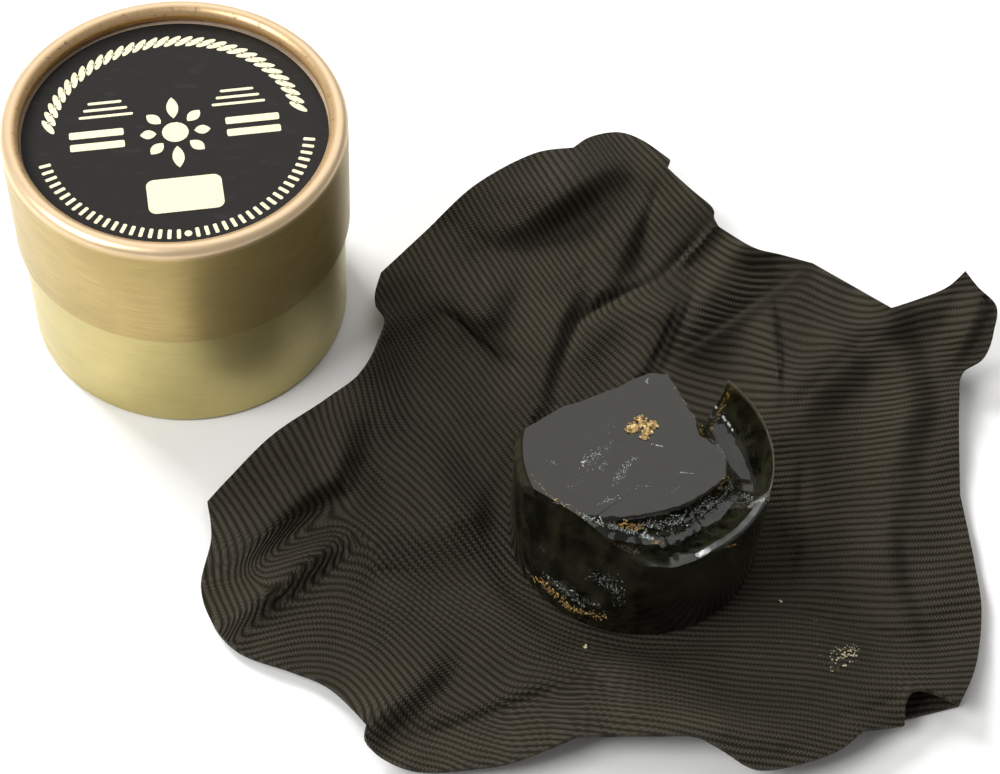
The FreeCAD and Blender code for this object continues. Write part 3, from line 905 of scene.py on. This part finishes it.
def cloth_fabric():
    """Dark brown ribbed cloth: round ribs crossed by fine threads, with a soft sheen; the grooves between
    ribs and threads are painted darker as shade.
    """
    material, tree, shader = new_material("ribbed_cloth", (0.030, 0.023, 0.017), 0.6, Specular_IOR_Level=0.12,
                                          Sheen_Weight=0.02, Sheen_Roughness=0.4)
    uv = node(tree, "UVMap", {"uv_map": "weave"}).outputs[0]
    wobble = noise(tree, uv, 0.6, 2.0, 0.5)
    split = node(tree, "SeparateXYZ", Vector=uv)
    ribs = math_node(tree, "ADD", split.outputs[0], times(tree, wobble, 0.12))
    wave = math_node(tree, "COSINE", times(tree, ribs, 2 * math.pi))
    round_rib = math_node(tree, "POWER", scaled(tree, wave, 0.49, 0.51), 0.6)
    step = times(tree, math_node(tree, "FLOOR", ribs), 0.5)
    thread = scaled(tree, split.outputs[1], THREADS, step)
    beads = math_node(tree, "COSINE", times(tree, thread, 2 * math.pi))
    soft_beads = scaled(tree, beads, 0.22, 0.78)
    height = times(tree, round_rib, soft_beads)
    fuzz = noise(tree, place(tree), 6.0, 3.0, 0.6)
    patchy = noise(tree, place(tree), 0.07, 3.0, 0.5)
    patches = ramp(tree, patchy, 0.3, 0.7)
    # painted shade: the colour darkens with the rib height, so grooves between ribs and gaps between crossing
    # threads are painted dark
    groove_shade = mix_color(tree, patches, (0.0115, 0.0100, 0.0046), (0.0160, 0.0138, 0.0068))
    crest = mix_color(tree, ramp(tree, fuzz, 0.3, 0.7), (0.041, 0.0360, 0.0265), (0.064, 0.0565, 0.0425))
    color = mix_color(tree, ramp(tree, height, 0.2, 0.85), groove_shade, crest)
    deep = node(tree, "Attribute", {"attribute_name": "rib_depth"}).outputs["Fac"]
    relief = times(tree, scaled(tree, fuzz, 0.15, height), deep)
    feed(shader, Base_Color=color, Normal=bump(tree, relief, RIB_RELIEF))
    return material


def cloth(material):
    outline = edge_loop(CLOTH_EDGE)
    plan, faces = sheet_plan(outline)
    tuck_plan, tuck_faces = sheet_plan(edge_loop(TUCK))
    x, y = plan[:, 0], plan[:, 1]
    z = cloth_height(x, y)
    tuck_z = TUCK_Z + 0.1 * value_noise(tuck_plan[:, 0], tuck_plan[:, 1], 3.0, 4)
    faces = faces + [[len(plan) + i for i in face] for face in tuck_faces]
    x, y = np.append(x, tuck_plan[:, 0]), np.append(y, tuck_plan[:, 1])
    ribs, threads = lay_weave(outline)(x, y)
    z = np.append(z, tuck_z) + GATHER_DEPTH * gathered(x, y) * np.cos(2 * math.pi * ribs)
    piece = mesh_object("ribbed_cloth", np.stack([*slide_along_sight(x, y, z), z], 1), faces, material)
    layer = piece.data.uv_layers.new(name="weave")
    loops = np.zeros(len(piece.data.loops), int)
    piece.data.loops.foreach_get("vertex_index", loops)
    layer.data.foreach_set("uv", np.stack([ribs[loops], threads[loops]], 1).ravel())
    attribute = piece.data.attributes.new("rib_depth", "FLOAT", "POINT")
    attribute.data.foreach_set("value", np.clip(zones(x, y, RIB_DEPTH), 0.05, 2.4))
    thick = piece.modifiers.new("thickness", "SOLIDIFY")
    thick.thickness = CLOTH_T * MM
    thick.offset = -1
    apply_modifiers(piece)
    finish(shade(piece, 80), "cloth", "cloth")


# ======== cake
CAKE_BOTTOM = CAKE_LOW.z
CAKE_TOP = 22.8
CAKE_EDGE_R = 1.3
CAKE_FOOT_R = 0.5
CAKE_SIDES = 240
CLOSE = 0.006             # points nearer than this are joined after the cuts

# Broken ring from the right-hand fin round to the front: azimuth, inner radius, depth, rim height.
RING_BREAK = [
    (-128, 16.0, 0.0, 23.6), (-118, 14.3, 0.9, 23.4), (-108, 13.2, 1.9, 23.2), (-96, 12.2, 2.8, 22.9),
    (-86, 11.5, 3.3, 21.3), (-76, 11.2, 3.6, 20.5), (-67, 11.1, 3.7, 20.9), (-58, 11.2, 3.6, 22.1),
    (-46, 11.3, 3.4, 22.4), (-34, 11.8, 3.3, 22.4), (-24, 12.4, 3.4, 22.6), (-17, 13.1, 4.2, 22.9),
    (-12, 12.9, 6.0, 23.2), (-3, 12.7, 7.4, 23.2), (6, 11.9, 8.0, 23.2), (14, 10.4, 8.2, 23.1),
    (23, 9.3, 8.2, 23.1), (32, 9.6, 8.0, 23.0), (41, 10.6, 7.6, 22.9), (52, 11.5, 7.0, 22.9),
]


FIN_T = 0.12              # thickness of the fin at its top


def cylinder_blank():
    """The whole cast cake before anything broke off."""
    rings = [(CAKE_R - CAKE_FOOT_R - 0.2, CAKE_BOTTOM)]
    for k in range(7):
        a = math.pi / 2 * k / 6
        inwards, upwards = CAKE_FOOT_R * (1 - math.sin(a)), CAKE_FOOT_R * (1 - math.cos(a))
        rings.append((CAKE_R - inwards, CAKE_BOTTOM + upwards))
    for k in range(9):
        a = math.pi / 2 * k / 8
        inwards, downwards = CAKE_EDGE_R * (1 - math.cos(a)), CAKE_EDGE_R * (1 - math.sin(a))
        rings.append((CAKE_R - inwards, CAKE_TOP - downwards))
    rings.append((CAKE_R - CAKE_EDGE_R - 0.2, CAKE_TOP))
    count = CAKE_SIDES
    vertices, faces = [], []
    for r, z in rings:
        for i in range(count):
            a = 2 * math.pi * i / count
            vertices.append((r * math.cos(a), r * math.sin(a), z))
    for j in range(len(rings) - 1):
        for i in range(count):
            k = (i + 1) % count
            faces.append([j * count + i, j * count + k, (j + 1) * count + k, (j + 1) * count + i])
    faces.append(list(reversed(range(count))))
    faces.append([(len(rings) - 1) * count + i for i in range(count)])
    return mesh_object("rosin_cake_body", vertices, faces)


def grid_solid(name, grid, close_with):
    """Closed solid between a grid of points and the same grid moved by close_with."""
    rows, columns = grid.shape[:2]
    near = grid.reshape(-1, 3)
    far = (grid + close_with(grid)).reshape(-1, 3)
    base = len(near)
    faces = []
    for j in range(rows - 1):
        for i in range(columns - 1):
            a = j * columns + i
            b, c, d = a + 1, a + columns + 1, a + columns
            faces.append([a, b, c, d])
            faces.append([base + d, base + c, base + b, base + a])
    border = list(range(columns))
    border += [j * columns + columns - 1 for j in range(1, rows)]
    border += [(rows - 1) * columns + i for i in range(columns - 2, -1, -1)]
    border += [j * columns for j in range(rows - 2, 0, -1)]
    for a, b in zip(border, border[1:] + border[:1]):
        faces.append([b, a, base + a, base + b])
    piece = mesh_object(name, np.vstack([near, far]), faces)
    with editing(piece) as bm:
        bmesh.ops.recalc_face_normals(bm, faces=bm.faces)
    return piece


def ripples(u, v, origin, pitch, size, reach):
    """Conchoidal waves: arcs round the point where the piece was struck off, dying away."""
    r = np.hypot(u - origin[0], v - origin[1])
    fade = np.exp(-r / reach)
    return size * fade * np.sin(2 * math.pi * (r / pitch) ** 0.85 + 0.6 * value_noise(u, v, 4.0, 9))


def break_block(name, at, outward, width, height, relief, depth=30.0, step=0.3):
    """A block that removes everything outside a broken face through a point."""
    n = Vector(outward).normalized()
    across = Vector((0, 0, 1)).cross(n).normalized()
    up = n.cross(across)
    us = np.arange(-width / 2, width / 2 + step, step)
    vs = np.arange(-height, 6.0 + step, step)
    u, v = np.meshgrid(us, vs)
    w = relief(u, v)
    grid = (np.array(at) + u[..., None] * np.array(across) + v[..., None] * np.array(up)
            + w[..., None] * np.array(n))
    return grid_solid(name, grid, lambda g: np.array(n) * depth - w[..., None] * np.array(n))


# How far the break stands out, along it.
BACK_BULGE = ((-40, -6.0), (-16, -5.0), (-11.6, -1.5), (-9.0, 0.0), (-4, 0.4), (0.3, 1.0), (7, 1.8),
              (12, 1.5), (16, 0.9), (22, 0.0), (40, 0.0))


def back_break():
    """Large steep break along the back-left side."""
    az = math.radians(126.2)
    outward = (math.cos(az) * 0.93, math.sin(az) * 0.93, 0.36)

    def relief(u, v):
        bulge = spread(BACK_BULGE, 1, u)
        hollow = -1.6 * np.sin(np.pi * np.clip(-v / 24, 0, 1))
        return bulge + hollow + ripples(u, v, (6.0, 1.0), 3.4, 0.10, 12.0) + 0.16 * value_noise(u, v, 3.2, 3)

    at = (11.8 * math.cos(az), 11.8 * math.sin(az), CAKE_TOP)
    return break_block("back_break", at, outward, 60, 30, relief)


def notch_break():
    """Deep notch at the back-right, where two broken faces meet in a line."""
    apex = (8.9, 4.7, CAKE_TOP)

    def left(u, v):
        return ripples(u, v, (0.0, 0.0), 2.2, 0.2, 10.0) + 0.1 * value_noise(u, v, 1.6, 5)

    def right(u, v):
        return (ripples(u, v, (3.0, 0.0), 1.9, 0.18, 9.0) + 0.12 * value_noise(u, v, 1.3, 6)
                - 0.8 * np.sin(np.pi * np.clip(-v / 22, 0, 1)))

    one = break_block("notch_left", apex, (0.827, 0.448, 0.340), 60, 34, left)
    other = break_block("notch_right", (8.3, 4.6, CAKE_TOP), (-0.884, 0.407, 0.233), 60, 34, right)
    return boolean(one, other, "INTERSECT")


FACET_LEAN = 11.0         # degrees
# Height of the ledge at its foot, along the break.
LEDGE = ((-30, 1.5), (-8.5, 2.6), (-5.6, 3.8), (-3.4, 5.6), (-0.8, 6.8), (2.0, 6.1), (4.5, 6.5), (7.2, 7.7),
         (9.5, 10.8), (12, 15.0), (30, 24.0))


def facing(azimuth, lean, reach):
    """A direction out from the axis and up, and the point of the top plane that far from the axis."""
    az, lean = math.radians(azimuth), math.radians(lean)
    outward = (math.cos(az) * math.cos(lean), math.sin(az) * math.cos(lean), math.sin(lean))
    return outward, (reach * math.cos(az), reach * math.sin(az), CAKE_TOP)


def facet_break():
    """Long flake off the front-left wall, ending in a ledge above the foot."""
    outward, at = facing(-123, FACET_LEAN, 16.5)

    def relief(u, v):
        height = CAKE_TOP + v * math.cos(math.radians(FACET_LEAN))
        jag = 0.35 * value_noise(u, np.zeros_like(v), 1.1, 31) + 0.25 * value_noise(u, v, 0.6, 32)
        foot = smooth((spread(LEDGE, 1, u) + 1.0 + jag - height) / 1.8) * 6.0
        return (foot - 0.35 * np.cos(u / 7.0) + ripples(u, v, (-6.0, -12.0), 2.4, 0.12, 9.0)
                + 0.05 * value_noise(u, v, 1.5, 7))

    return break_block("facet_break", at, outward, 44, 26, relief)


def side_facet_break():
    """Narrow flake next to it, further round to the left."""
    outward, at = facing(-151, 3.0, 19.45)

    def relief(u, v):
        foot = smooth((-v - 14.0) / 4.0) * 4.0
        head = smooth((v + 9.0) / 6.0) * 2.5
        return foot + head + 0.05 * value_noise(u, v, 2.0, 8)

    return break_block("side_facet_break", at, outward, 30, 26, relief)


def ring_break():
    """The hollow between the flat top and the outer wall, deep under the fin and shallow in front."""
    az = np.arange(RING_BREAK[0][0], RING_BREAK[-1][0] + 0.01, 0.75)
    t = np.linspace(0, 1, 60)
    inner, depth, rim = (spread(RING_BREAK, k, az)[:, None] for k in (1, 2, 3))
    tt = t[None]
    front = smooth((-12 - az) / 9.0)[:, None]
    level = np.zeros_like(az)
    facets = (value_noise(az, level, 15.0, 21) + 0.45 * value_noise(az, level, 6.0, 22))[:, None]
    # front: a short cliff, then a long smooth rise to the rim
    fall = smooth(tt / 0.2)
    rise = smooth((tt - 0.34) / 0.66)
    shallow = CAKE_TOP - depth * fall * (1 - rise) - (CAKE_TOP - rim) * rise
    shallow = shallow + 0.55 * facets * np.sin(np.pi * tt) * fall
    # fin: a bowl that leaves a thin upright wall
    outer = CAKE_R + 0.6
    wall = (CAKE_R - FIN_T - inner) / (outer - inner)
    across = 2 * np.clip(tt / wall, 0, 1) - 1
    bowl = np.sqrt(1 - np.abs(across) ** np.where(across > 0, 3.2, 2.0))
    deep = rim - (rim - CAKE_TOP + depth) * bowl + 0.3 * facets * np.sin(np.pi * tt)
    z = shallow * front + deep * (1 - front)
    a, b = np.broadcast_arrays(az[:, None], tt)
    fine = value_noise(a * 0.5, b * 9.0, 1.0, 4) * 0.5 + value_noise(a * 1.3, b * 22.0, 1.0, 14) * 0.35
    cliff = np.exp(-((tt - 0.12) / 0.09) ** 2) * front
    z = z + fine * (0.03 + 0.45 * cliff)
    r = inner + (outer - inner) * tt
    r = r + (0.18 * facets * front + 0.3 * fine * cliff) * np.sin(np.pi * tt)
    r[:, 0] = inner[:, 0] - 0.25
    z[:, 0] = CAKE_TOP + 0.4
    angle = np.radians(az)[:, None]
    grid = np.stack([r * np.cos(angle), r * np.sin(angle), z], -1)
    lift = np.zeros_like(grid)
    lift[..., 2] = CAKE_TOP + 6.0 - z
    return grid_solid("ring_break", grid, lambda g: lift)


def rosin_glass():
    """Nearly black amber glass: it darkens with depth, so only thin edges glow."""
    material, tree, shader = new_material("rosin", (1, 1, 1), 0.03, IOR=1.54)
    where = place(tree)
    split = node(tree, "SeparateXYZ", Vector=where)
    below_top = ramp(tree, split.outputs[2], CAKE_TOP - 0.02, CAKE_TOP - 0.1)
    haze = ramp(tree, noise(tree, where, 0.16, 3.0, 0.5, (1, 1.6, 1)), 0.5, 0.8, 0.0, 0.14)
    # the cast outside is duller than the broken faces; on the left its rounded edge is painted shade, opaque
    # black and less shiny where it would mirror the lamp, and on the right it is rubbed matt
    across = node(tree, "VectorMath", {"operation": "MULTIPLY"}, i0=where, i1=(1, 1, 0)).outputs[0]
    radius = node(tree, "VectorMath", {"operation": "LENGTH"}, i0=across).outputs["Value"]
    cast = ramp(tree, radius, CAKE_R - CAKE_EDGE_R, CAKE_R - CAKE_EDGE_R + 0.1)
    edge = times(tree, cast, ramp(tree, split.outputs[2], CAKE_TOP - 1.8, CAKE_TOP - 1.2))
    dark_left_edge = times(tree, edge, ramp(tree, split.outputs[0], 4, -4))
    rubbed = times(tree, edge, ramp(tree, split.outputs[0], 4, 12))
    clear = times(tree, below_top, math_node(tree, "SUBTRACT", 1.0, dark_left_edge))
    shine = scaled(tree, dark_left_edge, -0.175, scaled(tree, cast, -0.32, 0.5))
    dull = scaled(tree, rubbed, 0.38, scaled(tree, cast, 0.06, 0.02))
    rough = scaled(tree, haze, below_top, dull)
    # the opaque dark colour on the left of the rounded edge is painted shade
    tint = mix_color(tree, ramp(tree, clear, 0.95, 1.0), (0.012, 0.011, 0.008), (1, 1, 1))
    ripple = times(tree, noise(tree, where, 0.35, 2.0, 0.5), below_top)
    feed(shader, Transmission_Weight=clear, Specular_IOR_Level=shine, Roughness=rough, Base_Color=tint,
         Normal=bump(tree, ripple, 0.05, 0.3))
    # a little fine powder clings to it and greys the walls
    powder = node(tree, "BsdfDiffuse", Color=(0.28, 0.28, 0.14, 1)).outputs[0]
    cloudy = ramp(tree, noise(tree, where, 0.35, 5.0, 0.7, (1, 1, 0.6)), 0.42, 0.75, 0.006, 0.08)
    clinging = times(tree, cloudy, scaled(tree, below_top, 0.8, 0.2))
    both = node(tree, "MixShader", i0=clinging, i1=shader.outputs[0], i2=powder).outputs[0]
    absorb = node(tree, "VolumeAbsorption", Color=(0.66, 0.55, 0.12, 1), Density=1150.0).outputs[0]
    feed(tree.nodes["Material Output"], Surface=both, Volume=absorb)
    return material


def cake(material):
    piece = cylinder_blank()
    for tool in (back_break, notch_break, facet_break, side_facet_break, ring_break):
        boolean(piece, tool())
    merge_close(piece, CLOSE, CAKE_TOP)
    piece.data.materials.clear()
    piece.data.materials.append(material)
    return finish(shade(piece, 32), "cake", "rosin_cake")


# ======== crust, dust and crumbs
# Patches of the chip, from its centre: x, y, radius.
CRUST = ((-1.4, -0.2, 1.2), (-0.4, 0.9, 1.1), (0.7, -0.6, 1.1), (0.2, -1.9, 0.7), (-2.0, -1.0, 0.7),
         (1.4, 0.2, 0.7))
# Loose dust on the flat top: x, y, length, width, direction, grains, size.
DUST = (
    (-7.6, -1.6, 2.6, 1.0, 42, 120, 0.12), (-6.6, -3.4, 2.0, 0.7, 40, 60, 0.10),
    (-9.4, -3.0, 0.6, 0.4, 40, 24, 0.18),
    (-2.8, -3.2, 2.6, 0.6, 56, 90, 0.12), (-4.0, -5.6, 1.3, 0.6, 50, 34, 0.13),
    (-5.4, -9.8, 1.7, 0.6, 25, 60, 0.12),
    (-14.2, -3.6, 0.7, 0.5, 0, 16, 0.12), (0.2, -6.9, 2.2, 0.9, 20, 30, 0.09),
    (-7.0, 3.6, 3.4, 1.6, 30, 60, 0.07),
    (0.1, 13.4, 0.6, 0.5, 60, 10, 0.14), (2.0, 1.0, 0.9, 0.14, -10, 34, 0.14),
    (6.3, -3.8, 1.1, 0.04, -3, 34, 0.12),
    (-10.6, -7.2, 2.2, 0.5, 35, 30, 0.08), (4.4, -7.2, 2.0, 0.8, 30, 24, 0.08),
)
# Crumbs on the cloth: x, y, radius, grains, size.
CRUMBS = (
    (33.2, -22.0, 2.1, 60, 0.33), (34.6, -21.0, 1.2, 26, 0.22), (31.4, -24.0, 1.4, 16, 0.2),
    (23.5, -13.0, 0.3, 3, 0.5), (-7.0, -23.6, 0.5, 4, 0.6), (29.0, -19.0, 6.0, 16, 0.12),
)


class Grains:
    """Collects small broken grains, each the hull of a few scattered points."""

    def __init__(self, seed):
        self.random = random.Random(seed)
        self.bm = bmesh.new()

    def add(self, x, y, z, size, flat=0.7):
        corners = []
        for _ in range(9):
            direction = Vector([self.random.uniform(-1, 1) for _ in range(3)]).normalized()
            reach = size / 2 * self.random.uniform(0.7, 1.1)
            at = Vector((x, y, z + size * flat * 0.4)) + Vector((1, 1, flat)) * Vector(direction) * reach
            corners.append(self.bm.verts.new(at * MM))
        hull = bmesh.ops.convex_hull(self.bm, input=corners)
        loose = [v for v in hull["geom_interior"] if isinstance(v, bmesh.types.BMVert)]
        bmesh.ops.delete(self.bm, geom=loose, context="VERTS")

    def patch(self, x, y, radius, count, size, settle):
        """Grains scattered in a disc; settle gives the place of each from its x and y."""
        for _ in range(count):
            reach, turn = radius * self.random.random() ** 0.8, self.random.uniform(0, 2 * math.pi)
            at = settle(x + reach * math.cos(turn), y + reach * math.sin(turn))
            self.add(*at, size * self.random.uniform(0.5, 1.5))

    def piece(self, name, material):
        obj = mesh_object(name, np.zeros((0, 3)), [], material)
        bmesh.ops.recalc_face_normals(self.bm, faces=self.bm.faces)
        self.bm.to_mesh(obj.data)
        self.bm.free()
        return obj


def crust_material(name, low, high):
    """Powdery broken rosin, from brown to pale gold in soft random patches."""
    material, tree, shader = new_material(name, low, 0.5, Subsurface_Weight=0.2, Subsurface_Scale=0.4 * MM)
    where = place(tree)
    tone = mix_color(tree, ramp(tree, noise(tree, where, 1.3, 4.0, 0.7), 0.38, 0.62), low, high)
    feed(shader, Base_Color=tone, Normal=bump(tree, noise(tree, where, 5.0, 3.0, 0.6), 0.08, 0.6))
    return material


def crust():
    """The gold crust stuck to the flat top, with the dust and scratches round it."""
    low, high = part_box("top_chip")
    centre = (low + high) / 2 / MM
    grains = Grains(5)
    for dx, dy, reach in CRUST:
        grains.patch(centre.x + dx, centre.y + dy, reach, 34, 0.62, lambda x, y: (x, y, CAKE_TOP - 0.1))
    piece = grains.piece("top_crust", crust_material("gold_crust", (0.20, 0.10, 0.025), (0.62, 0.45, 0.20)))
    finish(piece, "cake", "top_chip")

    dust = Grains(6)
    for x, y, long, wide, degrees, count, size in DUST:
        c, s = math.cos(math.radians(degrees)), math.sin(math.radians(degrees))
        for _ in range(count):
            a, b = dust.random.gauss(0, 0.5) * long, dust.random.gauss(0, 0.5) * wide
            at = (x + a * c - b * s, y + a * s + b * c)
            dust.add(*at, CAKE_TOP - 0.02, size * dust.random.uniform(0.5, 1.5), 0.35)
    piece = dust.piece("top_dust", crust_material("pale_dust", (0.40, 0.37, 0.32), (0.72, 0.70, 0.64)))
    finish(piece, "cake")


# Splinters, partly real and partly painted glints, painted highlight lines and painted glow of light in thin
# edges, laid out on the top plane as seen from the camera: points, width, count, size, colour.
SHARD_LINES = (
    ([(-17.6, -5.6), (-14.8, -9.4), (-12.4, -11.2)], 0.2, 70, 0.17, "amber"),
    ([(-13.8, -10.9), (-10.9, -11.2), (-9.6, -12.7)], 0.08, 60, 0.13, "clear"),
    ([(-12.4, -11.2), (-9.2, -13.3)], 0.1, 30, 0.14, "amber"),
    ([(-9.0, -13.2), (-4.8, -14.5), (-1.0, -15.4)], 0.45, 240, 0.24, "clear"),
    ([(-3.4, -14.0), (-0.6, -14.4)], 0.7, 70, 0.42, "amber"),
    ([(-1.0, -14.2), (3.6, -13.6), (7.6, -11.4), (11.0, -8.2)], 0.8, 420, 0.24, "clear"),
    ([(-0.6, -15.8), (0.9, -16.2)], 0.5, 26, 0.55, "clear"),
    ([(1.4, -16.6), (3.0, -16.9)], 0.3, 22, 0.26, "amber"),
    ([(8.8, -11.2), (11.6, -8.4), (13.6, -4.4)], 0.5, 140, 0.2, "clear"),
    ([(11.4, -6.6), (12.6, -4.0)], 0.3, 30, 0.24, "amber"),
    ([(4.7, 12.6), (6.6, 9.2), (8.4, 5.8), (8.9, 3.6)], 0.22, 90, 0.22, "amber"),
    ([(5.2, 11.6), (8.6, 5.4)], 0.2, 30, 0.16, "clear"),
    ([(9.2, 3.4), (11.4, 1.8), (12.8, -0.4)], 0.2, 44, 0.16, "clear"),
    ([(13.9, 14.0), (12.4, 10.4), (11.2, 7.0), (10.2, 4.6)], 0.35, 120, 0.17, "amber"),
    ([(-15.8, -24.6), (-13.2, -27.0), (-10.6, -29.2)], 0.55, 110, 0.34, "amber"),
    ([(-11.6, -28.8), (-9.0, -30.0), (-5.4, -30.6)], 0.5, 110, 0.3, "amber"),
    ([(-14.8, -23.6), (-11.4, -26.8), (-8.4, -29.0)], 0.35, 90, 0.18, "clear"),
    ([(-7.0, -23.6), (-4.6, -24.6), (-3.6, -27.2)], 1.2, 170, 0.15, "clear"),
    ([(-17.6, -23.0), (-16.0, -24.8)], 0.12, 20, 0.14, "amber"),
    ([(15.0, -7.4), (18.0, -8.6), (19.6, -6.6)], 0.6, 120, 0.2, "clear"),
    ([(12.2, -17.0), (14.2, -16.2)], 0.12, 26, 0.2, "amber"),
)


def shards(cake_piece):
    """Small bright splinters along the broken edges, partly real and partly painted glints, painted highlight
    lines and painted glow of light in thin edges, set on the cake where the line of sight meets it.
    """
    tree = BVHTree.FromObject(cake_piece, bpy.context.evaluated_depsgraph_get())
    sets = {"amber": Grains(11), "clear": Grains(12)}
    for points, width, count, size, colour in SHARD_LINES:
        grains = sets[colour]
        p = np.array(points, float)
        for _ in range(count):
            k = grains.random.uniform(0, len(p) - 1.001)
            at = p[int(k)] + (p[int(k) + 1] - p[int(k)]) * (k % 1)
            at = at + np.array([grains.random.gauss(0, width * 0.6), grains.random.gauss(0, width * 0.6)])
            sight = Vector((at[0], at[1], CAKE_TOP)) - CAMERA_AT
            hit, normal, _, _ = tree.ray_cast(CAMERA_AT * MM, sight.normalized())
            if hit:
                hit = hit / MM
                grains.add(hit.x, hit.y, hit.z - size * 0.3, size * grains.random.uniform(0.4, 1.4), 0.6)
    # the amber grains also stand in for painted glow of light in thin edges, the clear ones for painted
    # glints and highlight lines
    amber = crust_material("amber_splinter_and_glow", (0.17, 0.07, 0.010), (0.74, 0.48, 0.15))
    clear = crust_material("clear_splinter_and_glint", (0.12, 0.13, 0.09), (0.72, 0.77, 0.74))
    for colour, material in (("amber", amber), ("clear", clear)):
        finish(sets[colour].piece(colour + "_splinters_and_glints", material), "cake")


def crumbs():
    """Pale rosin crumbs and dust that lie on the cloth."""
    grains = Grains(8)

    def on_cloth(x, y):
        z = cloth_height(np.array([x]), np.array([y]))[0]
        return *slide_along_sight(x, y, z), z

    for x, y, radius, count, size in CRUMBS:
        grains.patch(x, y, radius, count, size, on_cloth)
    piece = grains.piece("cloth_crumbs", crust_material("crumb_dust", (0.34, 0.27, 0.14), (0.74, 0.68, 0.50)))
    finish(piece, "cloth", "rosin_crumbs")


# ======== stage
WORLD_LIGHT = 0.28
FLOOR_REACH = 900
LAMPS = (                 # name, place, size, watts, whether shiny things mirror it
    ("key", (-480, -200, 530), 360, 4.0, True),
    ("back", (40, 470, 640), 800, 2.1, True),
    ("rake", (-450, 430, 400), 260, 6.0, False),
)


def stage():
    corners = [(x * FLOOR_REACH, y * FLOOR_REACH, 0) for x, y in ((-1, -1), (1, -1), (1, 1), (-1, 1))]
    floor = mesh_object("floor", corners, [[0, 1, 2, 3]], new_material("floor", (0.86, 0.86, 0.85), 0.6)[0])
    floor.location.z = -0.05 * MM     # just under the lowest part, so that they don't share a plane

    world = bpy.data.worlds.new("studio")
    bpy.context.scene.world = world
    world.use_nodes = True
    background = world.node_tree.nodes["Background"]
    background.inputs[0].default_value = (1.0, 0.99, 0.97, 1)
    background.inputs[1].default_value = WORLD_LIGHT
    bpy.context.scene.view_settings.view_transform = "Standard"

    for name, at, size, power, mirrored in LAMPS:
        light = bpy.data.lights.new(name, "AREA")
        light.size = size * MM
        light.energy = power
        lamp = bpy.data.objects.new(name, light)
        lamp.location = Vector(at) * MM
        lamp.visible_glossy = mirrored
        lamp.rotation_euler = (LOOK_AT - Vector(at)).to_track_quat("-Z", "Y").to_euler()
        bpy.context.scene.collection.objects.link(lamp)


def camera():
    data = bpy.data.cameras.new("camera")
    data.lens = CAMERA_LENS
    data.sensor_width = 36.0
    data.clip_start = 0.01
    made = bpy.data.objects.new("camera", data)
    back = (CAMERA_AT - LOOK_AT).normalized()
    right = Vector((0, 0, 1)).cross(back).normalized()
    up = back.cross(right)
    c, s = math.cos(CAMERA_ROLL), math.sin(CAMERA_ROLL)
    turned_right = right * c + up * s
    turned_up = up * c - right * s
    rows = [(turned_right[i], turned_up[i], back[i], CAMERA_AT[i] * MM) for i in range(3)]
    made.matrix_world = Matrix(rows + [(0, 0, 0, 1)])
    bpy.context.scene.collection.objects.link(made)
    bpy.context.scene.camera = made


# ======== build
camera()
stage()
use(lid_gold(), "lid_wrap")
use(gold_paper("base_gold_paper", (0.55, 0.46, 0.185), (0.48, 0.405, 0.155), 0.33, 0.2)[0], "base_wrap")
use(board(), "lid_tube", "base_tube", "lid_disc", "base_disc")
use(label_black(), "lid_label")
label_print(label_ink())
cloth(cloth_fabric())
shards(cake(rosin_glass()))
crust()
crumbs()
